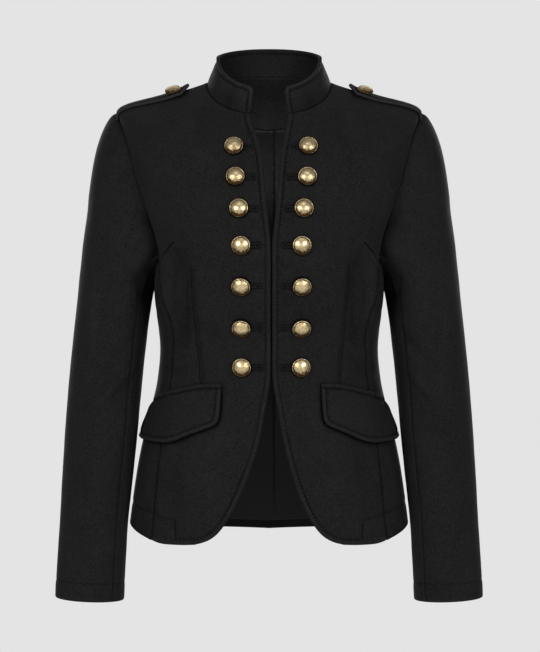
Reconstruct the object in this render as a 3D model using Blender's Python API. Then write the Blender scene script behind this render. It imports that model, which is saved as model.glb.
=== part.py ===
# Military-style blazer, worn form without a wearer. Metres, +Z up, front faces -Y.
# The origin is between the wearer's shoulders at the foot of the neck.
import math

import bpy
import numpy as np
from mathutils import Vector
from mathutils.geometry import delaunay_2d_cdt

# Main sizes
CLOTH = 0.0020
COLLAR_CLOTH = 0.0026
FACING_CLOTH = 0.0010
LINING_CLOTH = 0.0009
STRAP_CLOTH = 0.0026
FLAP_CLOTH = 0.0022
WELT_CLOTH = 0.0016
SEAM_GAP = 0.0003
LAYER_GAP = 0.0004
BODY_STEP = 0.0225
COLLAR_STEP = 0.013
BUTTON_RADIUS = 0.0115
STRAP_BUTTON_RADIUS = 0.0102
BUTTON_DOME = 0.0052
BUTTON_STANDOFF = 0.0024
FLAP_LIFT = 0.0016
STRAP_HALF = 0.0215
STRAP_TIP_X = 0.1015
STRAP_SHOULDER_X = 0.1130
STRAP_BUTTON_X = 0.1228
STRAP_BUTTON_LEAN = 12.0
STRAP_BUTTON_FORWARD = 0.0090
STRAP_TIP_LIFT = 0.0028
WELT_HEIGHT = 0.0050
LINING_RISE = 0.0110
FRONT_DRIFT = 0.0030
SPAN = 0.46
COLLAR_SPAN = 0.26
COLLAR_HEIGHT = 0.0365
COLLAR_CORNER = 0.0085

# Level rings of the body, from the neck down to under the hem
LEVEL_COLUMNS = ("v", "half_width", "side_z", "side_y", "front_y", "front_z", "back_y", "back_z", "round", "crown")
LEVELS = (
    (0.000, 0.0800, 0.000, 0.003, -0.0720, -0.0468, 0.0680, 0.0150, 2.25, 1.05),
    (0.045, 0.1350, -0.0165, 0.003, -0.0890, -0.0740, 0.0860, -0.0150, 2.35, 1.30),
    (0.090, 0.1940, -0.0385, 0.003, -0.1000, -0.1000, 0.0980, -0.0480, 2.45, 1.55),
    (0.130, 0.1880, -0.080, 0.003, -0.1100, -0.1300, 0.1070, -0.0860, 2.45, 1.50),
    (0.170, 0.1780, -0.120, 0.003, -0.1180, -0.1620, 0.1110, -0.1240, 2.45, 1.40),
    (0.230, 0.1610, -0.181, 0.003, -0.1250, -0.2070, 0.1120, -0.1830, 2.45, 1.20),
    (0.285, 0.1495, -0.237, 0.003, -0.1240, -0.2500, 0.1070, -0.2380, 2.40, 1.00),
    (0.320, 0.1478, -0.272, 0.003, -0.1170, -0.2790, 0.1000, -0.2720, 2.35, 1.00),
    (0.390, 0.1403, -0.342, 0.002, -0.0990, -0.3440, 0.0850, -0.3420, 2.30, 1.00),
    (0.430, 0.1440, -0.382, 0.002, -0.1000, -0.3830, 0.0880, -0.3820, 2.30, 1.00),
    (0.457, 0.1497, -0.409, 0.002, -0.1030, -0.4095, 0.0940, -0.4090, 2.30, 1.00),
    (0.495, 0.1595, -0.447, 0.002, -0.1080, -0.4470, 0.1040, -0.4470, 2.30, 1.00),
    (0.534, 0.1680, -0.486, 0.002, -0.1130, -0.4860, 0.1120, -0.4860, 2.30, 1.00),
    (0.575, 0.1745, -0.527, 0.002, -0.1170, -0.5270, 0.1170, -0.5270, 2.30, 1.00),
    (0.615, 0.1795, -0.567, 0.002, -0.1200, -0.5670, 0.1200, -0.5670, 2.30, 1.00),
    (0.665, 0.1840, -0.617, 0.002, -0.1220, -0.6170, 0.1230, -0.6170, 2.30, 1.00),
)

# Upper ring of the stand collar
COLLAR_TOP = {"half_width": 0.0660, "side_z": 0.0345, "side_y": 0.001, "front_y": -0.0640, "front_z": -0.0125,
              "back_y": 0.0600, "back_z": 0.0510, "round": 2.2, "crown": 1.10}

# Front edge: half of the opening between the two fronts
FRONT_EDGE_COLUMNS = ("x", "z")
FRONT_EDGE = (
    (0.0194, -0.0670), (0.0134, -0.0900), (0.0094, -0.1235), (0.0066, -0.1575), (0.0030, -0.1900),
    (0.0009, -0.2150), (0.0009, -0.2600), (0.0009, -0.3200), (0.0011, -0.3700), (0.0034, -0.3950),
    (0.0072, -0.4145), (0.0130, -0.4480), (0.0213, -0.4800), (0.0352, -0.5205), (0.0505, -0.5525),
    (0.0640, -0.5712), (0.0775, -0.5808), (0.0930, -0.5857),
)

# Hem height round the jacket, by the turn from centre front 0 to centre back 1
HEM_COLUMNS = ("turn", "z")
HEM = ((0.17, -0.5862), (0.23, -0.5868), (0.32, -0.5790), (0.41, -0.5695), (0.50, -0.5655), (0.60, -0.5685),
       (0.75, -0.5780), (1.0, -0.5845))

# Armhole, front part down to the side-front seam, and back part
ARMHOLE_COLUMNS = ("x", "z")
ARMHOLE_FRONT = ((0.1855, -0.0670), (0.1750, -0.1050), (0.1685, -0.1290), (0.1572, -0.1650), (0.1446, -0.2010),
                 (0.1400, -0.2300))
ARMHOLE_BACK = ((0.1835, -0.0720), (0.1755, -0.1080), (0.1670, -0.1400), (0.1560, -0.1750), (0.1455, -0.2100),
                (0.1400, -0.2320))
ARMHOLE_FOOT_V = 0.300
ARMHOLE_LONG = 9
ARMHOLE_SHORT = 3

# Seams down the body
SEAM_COLUMNS = ("x", "z")
SIDE_FRONT_SEAM = ((0.1345, -0.2700), (0.1265, -0.2960), (0.1218, -0.3290), (0.1222, -0.3520), (0.1255, -0.3920),
                   (0.1360, -0.4620), (0.1440, -0.5400), (0.1475, -0.5740))
SIDE_BACK_SEAM = ((0.1270, -0.2750), (0.1170, -0.3100), (0.1130, -0.3420), (0.1180, -0.3950), (0.1290, -0.4600),
                  (0.1370, -0.5300), (0.1400, -0.5690))

# Pocket flap outline
FLAP_COLUMNS = ("x", "z")
FLAP_TOP = ((0.0622, -0.3905), (0.0880, -0.3915), (0.1235, -0.4000), (0.1455, -0.4090))
FLAP_INNER = ((0.0626, -0.4080), (0.0640, -0.4260), (0.0668, -0.4350), (0.0730, -0.4398))
FLAP_FOOT = ((0.0985, -0.4500), (0.1235, -0.4600), (0.1450, -0.4600), (0.1600, -0.4575))

# Back facing and lining edges, by turn and level
FACING_EDGE = ((0.50, 0.056), (0.62, 0.066), (0.80, 0.086), (1.0, 0.0963))

# Front buttons, half of the distance between the columns
BUTTON_COLUMNS = ("x", "z", "droop_degrees")
BUTTONS = (
    (0.0466, -0.0892, 2), (0.0448, -0.1279, 2), (0.0403, -0.1678, 3), (0.0376, -0.2138, 4),
    (0.0376, -0.2644, 8), (0.0373, -0.3160, 11), (0.0367, -0.3656, 12),
)

# Button profile: radius and height as shares of the radius and the dome
SHANK_SHARE = 0.22
BUTTON_PROFILE = ((0.90, 0.0), (1.00, 0.18), (0.96, 0.36), (0.86, 0.34), (0.70, 0.68), (0.40, 0.93), (0.0, 1.0))
BUTTON_SIDES = 14

# Sleeve rings below the cap
SLEEVE_COLUMNS = ("z", "centre_x", "centre_y", "half_width", "half_depth")
SLEEVE = (
    (-0.100, 0.1840, 0.004, 0.0453, 0.0600),
    (-0.160, 0.1879, 0.003, 0.0460, 0.0600),
    (-0.2160, 0.1930, 0.002, 0.0478, 0.0595),
    (-0.2735, 0.1988, 0.000, 0.0477, 0.0575),
    (-0.3508, 0.2073, -0.004, 0.0474, 0.0530),
    (-0.4275, 0.2139, -0.009, 0.0469, 0.0490),
    (-0.5050, 0.2198, -0.016, 0.0454, 0.0450),
    (-0.5805, 0.2249, -0.025, 0.0436, 0.0405),
    (-0.6610, 0.2288, -0.035, 0.0438, 0.0365),
    (-0.7000, 0.2302, -0.039, 0.0438, 0.0360),
)
CUFF_FRONT_Z = -0.6615
CUFF_BACK_Z = -0.6580
CUFF_OUTER_RISE = 0.0019
CAP_OUTER_Z = -0.150
CAP_INNER_Z = -0.2760
CAP_ROWS = 6
ARM_ROWS = 17
UNDER_FIRST = 9
UNDER_LAST = 17

# Large soft folds of the sleeve: middle height, turn, half height, half turn, slant in turns a metre, depth
FOLD_COLUMNS = ("z", "turn", "half_height", "half_turn", "slant", "depth")
SLEEVE_FOLDS = (
    (-0.315, 0.24, 0.060, 0.060, -0.9, 0.0032),
    (-0.420, 0.33, 0.050, 0.055, 1.2, 0.0020),
    (-0.370, 0.72, 0.060, 0.070, 0.8, 0.0026),
    (-0.225, 0.20, 0.045, 0.060, -0.6, 0.0018),
)

# Colours and surfaces
MATERIALS = {
    "shell_cloth": ((0.0160, 0.0160, 0.0168, 1.0), 0.86, 0.0),
    "lining_cloth": ((0.0120, 0.0120, 0.0130, 1.0), 0.62, 0.0),
    "brass": ((0.52, 0.37, 0.16, 1.0), 0.30, 1.0),
}


# Clearing the scene
for old in list(bpy.data.objects):
    bpy.data.objects.remove(old, do_unlink=True)

made = {}
for slot, (colour, rough, metal) in MATERIALS.items():
    material = bpy.data.materials.new(slot)
    material.use_nodes = True
    shader = material.node_tree.nodes["Principled BSDF"]
    shader.inputs["Base Color"].default_value = colour
    shader.inputs["Roughness"].default_value = rough
    shader.inputs["Metallic"].default_value = metal
    material.diffuse_color = colour
    made[slot] = material


def smooth_columns(rows, at):
    # Monotone cubic through the rows of a table, for every column after the first
    rows = np.array(rows, float)
    x = rows[:, 0]
    y = rows[:, 1:]
    h = np.diff(x)[:, None]
    d = np.diff(y, axis=0) / h
    m = np.zeros_like(y)
    m[0] = d[0]
    m[-1] = d[-1]
    same = d[:-1] * d[1:] > 0
    w1 = 2 * h[1:] + h[:-1]
    w2 = h[1:] + 2 * h[:-1]
    safe0 = np.where(same, d[:-1], 1.0)
    safe1 = np.where(same, d[1:], 1.0)
    m[1:-1] = np.where(same, (w1 + w2) / (w1 / safe0 + w2 / safe1), 0.0)
    i = np.clip(np.searchsorted(x, at) - 1, 0, len(x) - 2)
    step = h[i]
    u = ((at - x[i])[:, None]) / step
    a = (1 + 2 * u) * (1 - u) ** 2 * y[i] + u * (1 - u) ** 2 * step * m[i]
    b = u * u * (3 - 2 * u) * y[i + 1] + u * u * (u - 1) * step * m[i + 1]
    return a + b


RING_AT = np.linspace(0.0, LEVELS[-1][0], 2400)
RING = smooth_columns(LEVELS, RING_AT)
SLEEVE_AT = np.linspace(0.10, 0.70, 1200)
SLEEVE_RING = smooth_columns([(-row[0],) + row[1:] for row in SLEEVE], SLEEVE_AT)


def ease(low, high, value):
    u = np.clip((np.asarray(value, float) - low) / (high - low), 0, 1)
    return u * u * (3 - 2 * u)


def ring_point(turn, width, side_z, side_y, front_y, front_z, back_y, back_z, power, crown):
    angle = np.pi * turn
    c = np.abs(np.sin(angle))
    s = np.abs(np.cos(angle))
    r = (c ** power + s ** power) ** (-1 / power)
    c = c * r
    s = s * r
    front = turn < 0.5
    y = side_y + np.where(front, front_y - side_y, back_y - side_y) * s
    z = side_z + np.where(front, front_z - side_z, back_z - side_z) * s ** crown
    x = width * c * np.where(np.sin(angle) < -1e-9, -1.0, 1.0)
    return np.stack([x, y, z], axis=-1)


def body(turn, v):
    turn = np.asarray(turn, float)
    v = np.asarray(v, float)
    turn, v = np.broadcast_arrays(turn, v)
    columns = [np.interp(v, RING_AT, RING[:, i]) for i in range(9)]
    return ring_point(turn, *columns)


def collar(turn, k):
    turn = np.asarray(turn, float)
    k = np.asarray(k, float)
    turn, k = np.broadcast_arrays(turn, k)
    low = body(turn, np.zeros_like(turn))
    top = ring_point(turn, *[np.full_like(turn, COLLAR_TOP[key]) for key in (
        "half_width", "side_z", "side_y", "front_y", "front_z", "back_y", "back_z", "round", "crown")])
    return low + (top - low) * k[..., None]


def normals_of(surface, turn, v, flip=1.0):
    e = 0.0015
    a = surface(turn + e, v) - surface(turn - e, v)
    b = surface(turn, np.asarray(v) + e) - surface(turn, np.maximum(np.asarray(v) - e, 0))
    n = np.cross(a, b) * flip
    n /= np.linalg.norm(n, axis=-1, keepdims=True)
    return n


def locate(x, z, back=False):
    # Turn and level of the body point that has this x and z
    turns = np.linspace(0.5, 1.0, 81) if back else np.linspace(0.0, 0.5, 81)
    levels = np.linspace(0.0, 0.66, 133)
    grid_t, grid_v = np.meshgrid(turns, levels, indexing="ij")
    points = body(grid_t, grid_v)
    far = (points[..., 0] - x) ** 2 + (points[..., 2] - z) ** 2
    i, j = np.unravel_index(np.argmin(far), far.shape)
    t = grid_t[i, j]
    v = grid_v[i, j]
    e = 1e-4
    for _ in range(30):
        p = body(t, v)
        dt = (body(t + e, v) - p) / e
        dv = (body(t, v + e) - p) / e
        jac = np.array([[dt[0], dv[0]], [dt[2], dv[2]]])
        move = np.linalg.lstsq(jac, np.array([x - p[0], z - p[2]]), rcond=None)[0]
        move = np.clip(move, -0.02, 0.02)
        t = min(max(t + move[0], turns[0]), turns[-1])
        v = min(max(v + move[1], 0.0), 0.66)
    return (t, v)


def located(table, back=False):
    return [locate(x, z, back) for x, z in table]


def level_at(turn, z):
    # Level at which the body has this height at this turn
    low, high = 0.2, 0.66
    for _ in range(40):
        middle = (low + high) / 2
        if body(turn, middle)[2] > z:
            low = middle
        else:
            high = middle
    return (low + high) / 2


def turn_at(v, y, low=0.3, high=0.7):
    for _ in range(40):
        middle = (low + high) / 2
        if body(middle, v)[1] < y:
            low = middle
        else:
            high = middle
    return (low + high) / 2


def flow(points, parts=None, step=None):
    # Smooth curve through points of the turn and level plane, evenly spaced on the cloth
    p = np.array(points, float)
    ends = np.vstack([2 * p[0] - p[1], p, 2 * p[-1] - p[-2]])
    fine = []
    for i in range(len(p) - 1):
        a, b, c, d = ends[i], ends[i + 1], ends[i + 2], ends[i + 3]
        u = np.linspace(0, 1, 24, endpoint=False)[:, None]
        tb = (c - a) / 2
        tc = (d - b) / 2
        chord = np.linalg.norm((c - b) * (SPAN, 1))
        tb = tb * min(1, chord / max(np.linalg.norm(tb * (SPAN, 1)), 1e-9) * 1.2)
        tc = tc * min(1, chord / max(np.linalg.norm(tc * (SPAN, 1)), 1e-9) * 1.2)
        fine.append((2 * u ** 3 - 3 * u ** 2 + 1) * b + (u ** 3 - 2 * u ** 2 + u) * tb
                    + (3 * u ** 2 - 2 * u ** 3) * c + (u ** 3 - u ** 2) * tc)
    fine = np.vstack(fine + [p[-1:]])
    run = np.r_[0, np.cumsum(np.linalg.norm(np.diff(body(fine[:, 0], fine[:, 1]), axis=0), axis=1))]
    count = parts or max(1, round(run[-1] / step))
    at = np.linspace(0, run[-1], count + 1)
    return np.stack([np.interp(at, run, fine[:, i]) for i in range(2)], axis=1)


def joined(*curves):
    out = [np.asarray(curves[0])]
    for curve in curves[1:]:
        out.append(np.asarray(curve)[1:])
    return np.vstack(out)


def inside(points, loop):
    # Which points lie inside the closed loop
    x, y = points[:, 0], points[:, 1]
    found = np.zeros(len(points), bool)
    for i in range(len(loop)):
        x0, y0 = loop[i - 1]
        x1, y1 = loop[i]
        if y0 == y1:
            continue
        crosses = ((y0 > y) != (y1 > y)) & (x < (x1 - x0) * (y - y0) / (y1 - y0) + x0)
        found ^= crosses
    return found


def tile(curves, outer, step, scale):
    # Triangles over the outer loop that keep every curve as a run of edges
    points = []
    index = {}
    edges = set()

    def number(p):
        key = (round(p[0] * scale[0], 6), round(p[1] * scale[1], 6))
        if key not in index:
            index[key] = len(points)
            points.append(key)
        return index[key]

    for curve in curves:
        numbers = [number(p) for p in curve]
        for a, b in zip(numbers, numbers[1:]):
            if a != b:
                edges.add((min(a, b), max(a, b)))
    edges = sorted(edges)
    fixed = np.array(points)
    a = fixed[[e[0] for e in edges]]
    b = fixed[[e[1] for e in edges]]
    low = fixed.min(axis=0)
    high = fixed.max(axis=0)
    rows = int((high[1] - low[1]) / (step * 0.866)) + 1
    grid = []
    for r in range(rows):
        xs = np.arange(low[0] + (r % 2) * step / 2, high[0], step)
        grid.append(np.stack([xs, np.full(len(xs), low[1] + r * step * 0.866)], axis=1))
    grid = np.vstack(grid)
    grid = grid[inside(grid, np.asarray(outer) * scale)]
    ab = b - a
    length = (ab ** 2).sum(axis=1)
    u = np.clip(((grid[:, None] - a) * ab).sum(axis=2) / length, 0, 1)
    near = np.linalg.norm(grid[:, None] - (a + u[..., None] * ab), axis=2).min(axis=1)
    grid = grid[near > 0.55 * step]
    every = [Vector(p) for p in np.vstack([fixed, grid])]
    out = delaunay_2d_cdt(every, edges, [], 0, 1e-7)
    flat = np.array([tuple(p) for p in out[0]]) / np.asarray(scale)
    tris = np.array([f for f in out[2] if len(f) == 3])
    p, q, r = (flat[tris[:, i]] for i in range(3))
    area = (q[:, 0] - p[:, 0]) * (r[:, 1] - p[:, 1]) - (q[:, 1] - p[:, 1]) * (r[:, 0] - p[:, 0])
    tris[area < 0] = tris[area < 0][:, ::-1]
    return flat, tris[np.abs(area) > 1e-9]


def drift(points):
    # The closed front edges hang a little to one side of the middle
    z = points[:, 2]
    down = ease(-0.045, -0.100, z) * (1 - ease(-0.440, -0.560, z))
    wide = 1 - ease(0.055, 0.125, np.abs(points[:, 0]))
    front = ease(0.0, -0.05, points[:, 1])
    out = points.copy()
    out[:, 0] += FRONT_DRIFT * down * wide * front
    return out


def add_mesh(name, points, faces, slot):
    mesh = bpy.data.meshes.new(name)
    mesh.from_pydata([tuple(p) for p in points], [], [tuple(int(i) for i in f) for f in faces])
    mesh.validate()
    mesh.materials.append(made[slot])
    for polygon in mesh.polygons:
        polygon.use_smooth = True
    part = bpy.data.objects.new(name, mesh)
    bpy.context.scene.collection.objects.link(part)
    return part


def shell(name, points, normals, tris, outer, inner, slot):
    # Closed wall between two heights over the tiles, its border drawn in by half a seam gap
    used = np.unique(tris)
    place = -np.ones(len(points), int)
    place[used] = np.arange(len(used))
    tris = place[tris]
    p = points[used].copy()
    n = normals[used]
    outer = np.broadcast_to(outer, len(points))[used][:, None]
    inner = np.broadcast_to(inner, len(points))[used][:, None]
    sides = np.vstack([tris[:, [0, 1]], tris[:, [1, 2]], tris[:, [2, 0]]])
    known = {(a, b) for a, b in sides.tolist()}
    border = [(a, b) for a, b in sides.tolist() if (b, a) not in known]
    pull = np.zeros_like(p)
    for a, b in border:
        along = p[b] - p[a]
        along /= np.linalg.norm(along)
        for i in (a, b):
            pull[i] += np.cross(n[i], along)
    size = np.linalg.norm(pull, axis=1, keepdims=True)
    mitre = np.where(size > 1e-6, 2.0 / np.maximum(size, 0.9), 0.0)
    p += pull / np.maximum(size, 1e-9) * np.minimum(mitre, 1.5) * SEAM_GAP / 2 * (size > 1e-6)
    count = len(p)
    every = np.vstack([drift(p + n * outer), drift(p + n * inner)])
    faces = tris.tolist() + (tris[:, ::-1] + count).tolist()
    for a, b in border:
        faces.append((b, a, a + count))
        faces.append((b, a + count, b + count))
    return add_mesh(name, every, faces, slot)


def mirrored(points, normals, tris):
    flip = np.array([-1.0, 1.0, 1.0])
    return points * flip, normals * flip, tris[:, ::-1]


def both_halves(points, normals, tris):
    # One piece over the centre back, joined where x is nearly zero
    left, left_n, left_t = mirrored(points, normals, tris)
    count = len(points)
    centre = np.abs(points[:, 0]) < 1e-6
    place = np.where(centre, np.arange(count), np.arange(count) + count)
    return np.vstack([points, left]), np.vstack([normals, left_n]), np.vstack([tris, place[left_t]])


# Curves of the body in turn and level
edge_turn = locate(0.0240, -0.0462)[0]
neck_front = [(t, 0.0) for t in np.linspace(edge_turn, 0.5, 10)]
neck_back = [(t, 0.0) for t in np.linspace(0.5, 1.0, 11)]
shoulder = [(0.5, v) for v in np.linspace(0.0, 0.090, 9)]
front_edge = flow([(edge_turn, 0.0)] + located(FRONT_EDGE), step=0.0165)
hem_points = [(t, level_at(t, z)) for t, z in HEM]
seam_foot_front = locate(*SIDE_FRONT_SEAM[-1])[0]
seam_foot_back = locate(*SIDE_BACK_SEAM[-1], back=True)[0]
hem_heights = np.array(HEM)


def hem_point(turn):
    z = smooth_columns(hem_heights, np.array([turn]))[0, 0]
    return (turn, level_at(turn, z))


hem_front = flow([tuple(front_edge[-1])] + [hem_point(t) for t in (0.20, 0.25, seam_foot_front)], step=0.017)
hem_side = flow([hem_point(t) for t in np.linspace(seam_foot_front, seam_foot_back, 7)], step=0.0185)
hem_back = flow([hem_point(t) for t in np.linspace(seam_foot_back, 1.0, 6)], step=0.0195)
tip = (0.5, 0.090)
foot = (0.5, ARMHOLE_FOOT_V)
armhole_front = flow([tip] + located(ARMHOLE_FRONT), parts=ARMHOLE_LONG)
armhole_back = flow(located(ARMHOLE_BACK, True)[::-1] + [tip], parts=ARMHOLE_LONG)
foot_front = flow([tuple(armhole_front[-1]), (0.435, 0.2945), foot], parts=ARMHOLE_SHORT)
foot_back = flow([foot, (0.565, 0.2945), tuple(armhole_back[0])], parts=ARMHOLE_SHORT)
armhole = joined(armhole_front, foot_front, foot_back, armhole_back)
side_front = flow([tuple(armhole_front[-1])] + located(SIDE_FRONT_SEAM[:-1]) + [tuple(hem_side[0])], step=0.0205)
side_back = flow([tuple(armhole_back[0])] + located(SIDE_BACK_SEAM[:-1], True) + [tuple(hem_back[0])], step=0.0205)
centre_back = [(1.0, v) for v in np.linspace(0.0, hem_back[-1][1], 27)]

# Pocket flap and welt curves
flap_top = flow(located(FLAP_TOP), step=0.014)
flap_inner = flow([tuple(flap_top[0])] + located(FLAP_INNER), step=0.012)
flap_foot = flow([tuple(flap_inner[-1])] + located(FLAP_FOOT) + [(0.487, level_at(0.487, -0.4560))], step=0.0165)
flap_outer = flow([tuple(flap_foot[-1]), tuple(flap_top[-1])], parts=3)
flap_loop = joined(flap_top[::-1], flap_inner, flap_foot, flap_outer)
welt_top = flap_top - np.array([0.0, WELT_HEIGHT])
welt_loop = np.vstack([flap_top, welt_top[::-1], flap_top[:1]])

# Epaulette strap outline: two edges from the armhole, then a blunt point
sleeve_end_front = tuple(armhole[1])
sleeve_end_back = tuple(armhole[-2])


def ridge_level(x):
    return float(np.interp(x, RING[:200, 0], RING_AT[:200]))


strap_front = [sleeve_end_front]
strap_back = [sleeve_end_back]
for x in (0.182, 0.168, 0.154, 0.140, 0.126, STRAP_SHOULDER_X):
    level = ridge_level(x)
    strap_front.append((turn_at(level, body(0.5, level)[1] - STRAP_HALF), level))
    strap_back.append((turn_at(level, body(0.5, level)[1] + STRAP_HALF), level))
strap_tip = [(turn_at(ridge_level(STRAP_TIP_X), body(0.5, 0)[1] - 0.006), ridge_level(STRAP_TIP_X + 0.0015)),
             (0.5, ridge_level(STRAP_TIP_X)),
             (turn_at(ridge_level(STRAP_TIP_X), body(0.5, 0)[1] + 0.006), ridge_level(STRAP_TIP_X + 0.0015))]
strap_line = np.array(strap_front + strap_tip + strap_back[::-1])
strap_loop = np.vstack([strap_line, [tip], [sleeve_end_front]])

facing_edge = flow(FACING_EDGE, step=0.02)
lining_hem = np.array([(t, v - LINING_RISE) for t, v in hem_back])
lining_hem[0] = [np.interp(lining_hem[1][1], side_back[:, 1], side_back[:, 0]), lining_hem[1][1]]
side_back = np.vstack([side_back[:-2], lining_hem[:1], side_back[-1:]])

outer_loop = joined(neck_front, neck_back, centre_back, hem_back[::-1], hem_side[::-1], hem_front[::-1],
                    front_edge[::-1])
curves = [neck_front, neck_back, shoulder, front_edge, hem_front, hem_side, hem_back, armhole, side_front, side_back,
          centre_back, flap_top, flap_inner, flap_foot, flap_outer,
          np.vstack([flap_top[:1], welt_top, flap_top[-1:]]), strap_line, facing_edge, lining_hem]
flat, tiles = tile(curves, outer_loop, BODY_STEP, (SPAN, 1.0))
tiles = tiles[:, ::-1]
middle = flat[tiles].mean(axis=1)
cloth = body(flat[:, 0], flat[:, 1])
cloth_normal = normals_of(body, flat[:, 0], flat[:, 1], -1.0)

front_loop = joined(neck_front, shoulder, armhole_front, side_front, hem_front[::-1], front_edge[::-1])
side_loop = joined(side_front[::-1], foot_front, foot_back, side_back, hem_side[::-1])
back_loop = joined(neck_back, centre_back, hem_back[::-1], side_back[::-1], armhole_back, shoulder[::-1])
in_front = inside(middle, front_loop)
in_side = inside(middle, side_loop)
in_back = inside(middle, back_loop)
on_cloth = in_front | in_side | in_back
in_flap = on_cloth & inside(middle, flap_loop)
in_welt = on_cloth & inside(middle, welt_loop)
in_strap = on_cloth & inside(middle, strap_loop)
facing_side = np.vstack([facing_edge, [(1.0, -0.1), (0.5, -0.1)]])
lining_side = np.vstack([lining_hem, [(1.0, 0.75), (0.4, 0.75), (0.4, lining_hem[0][1])]])
in_facing = in_back & inside(middle, facing_side)
in_lining = in_back & ~in_facing & ~inside(middle, lining_side)

# Lift of the flap, growing to its lower edge
flap_drop = np.array([np.clip((v - np.interp(t, flap_top[:, 0], flap_top[:, 1])) / 0.05, 0, 1) for t, v in flat])
flap_rise = LAYER_GAP + FLAP_LIFT * flap_drop
# Lift of the strap towards its point
strap_rise = LAYER_GAP + STRAP_TIP_LIFT * (1 - ease(STRAP_TIP_X, STRAP_BUTTON_X + 0.014, cloth[:, 0]))

for side, flip in (("right", 1), ("left", -1)):
    p, n, t = (cloth, cloth_normal, tiles) if flip < 0 else mirrored(cloth, cloth_normal, tiles)
    shell("front_" + side, p, n, t[in_front], 0.0, -CLOTH, "shell_cloth")
    shell("side_" + side, p, n, t[in_side], 0.0, -CLOTH, "shell_cloth")
    shell("back_" + side, p, n, t[in_back], 0.0, -CLOTH, "shell_cloth")
    shell("pocket_flap_" + side, p, n, t[in_flap], flap_rise + FLAP_CLOTH, flap_rise, "shell_cloth")
    shell("pocket_welt_" + side, p, n, t[in_welt], LAYER_GAP + WELT_CLOTH, LAYER_GAP, "shell_cloth")
    shell("epaulette_" + side, p, n, t[in_strap], strap_rise + STRAP_CLOTH, strap_rise, "shell_cloth")

lined = -CLOTH - LAYER_GAP
p, n, t = both_halves(cloth, cloth_normal, tiles[in_facing])
shell("back_neck_facing", p, n, t, lined, lined - FACING_CLOTH, "shell_cloth")
p, n, t = both_halves(cloth, cloth_normal, tiles[in_lining])
shell("back_lining", p, n, t, lined, lined - LINING_CLOTH, "lining_cloth")

# Stand collar: rounded front corner in turn and height
corner = COLLAR_CORNER / COLLAR_SPAN
corner_k = COLLAR_CORNER / COLLAR_HEIGHT
rounded = []
for a in np.linspace(0, math.pi / 2, 5):
    rounded.append((edge_turn + corner * (1 - math.cos(a)), 1 - corner_k * (1 - math.sin(a))))
collar_front = [(edge_turn, k) for k in np.linspace(0, 1 - corner_k, 3)]
collar_top = [(t, 1.0) for t in np.linspace(rounded[-1][0], 1.0, 17)]
collar_base = joined(neck_front, neck_back)
collar_back = [(1.0, k) for k in np.linspace(0, 1, 4)]
collar_loop = joined(collar_base, collar_back, np.array(collar_top)[::-1], np.array(rounded)[::-1],
                     np.array(collar_front)[::-1])
collar_flat, collar_tiles = tile([collar_base, collar_front, rounded, collar_top, collar_back], collar_loop,
                                 COLLAR_STEP, (COLLAR_SPAN, COLLAR_HEIGHT))
keep = inside(collar_flat[collar_tiles].mean(axis=1), collar_loop)
collar_points = collar(collar_flat[:, 0], collar_flat[:, 1])
collar_normal = normals_of(collar, collar_flat[:, 0], collar_flat[:, 1])
collar_points[:, 2] += SEAM_GAP * (1 - collar_flat[:, 1])
p, n, t = both_halves(collar_points, collar_normal, collar_tiles[keep])
shell("collar", p, n, t, 0.0, -COLLAR_CLOTH, "shell_cloth")


def sleeve_fold(turn, z):
    out = np.zeros_like(z)
    for z0, t0, tall, wide, slant, depth in SLEEVE_FOLDS:
        across = (turn - t0 - slant * (z - z0)) / wide
        along = (z - z0) / tall
        out -= depth * np.exp(-across ** 2 * 1.4) * np.exp(-along ** 2 * 1.2)
    return out


def arm(turn, z):
    columns = [np.interp(-z, SLEEVE_AT, SLEEVE_RING[:, i]) for i in range(4)]
    angle = 2 * np.pi * turn
    fold = sleeve_fold(turn, z)
    x = columns[0] + (columns[2] + fold) * np.cos(angle)
    y = columns[1] - (columns[3] + fold) * np.sin(angle)
    return np.stack([x, y, z], axis=-1)


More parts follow.
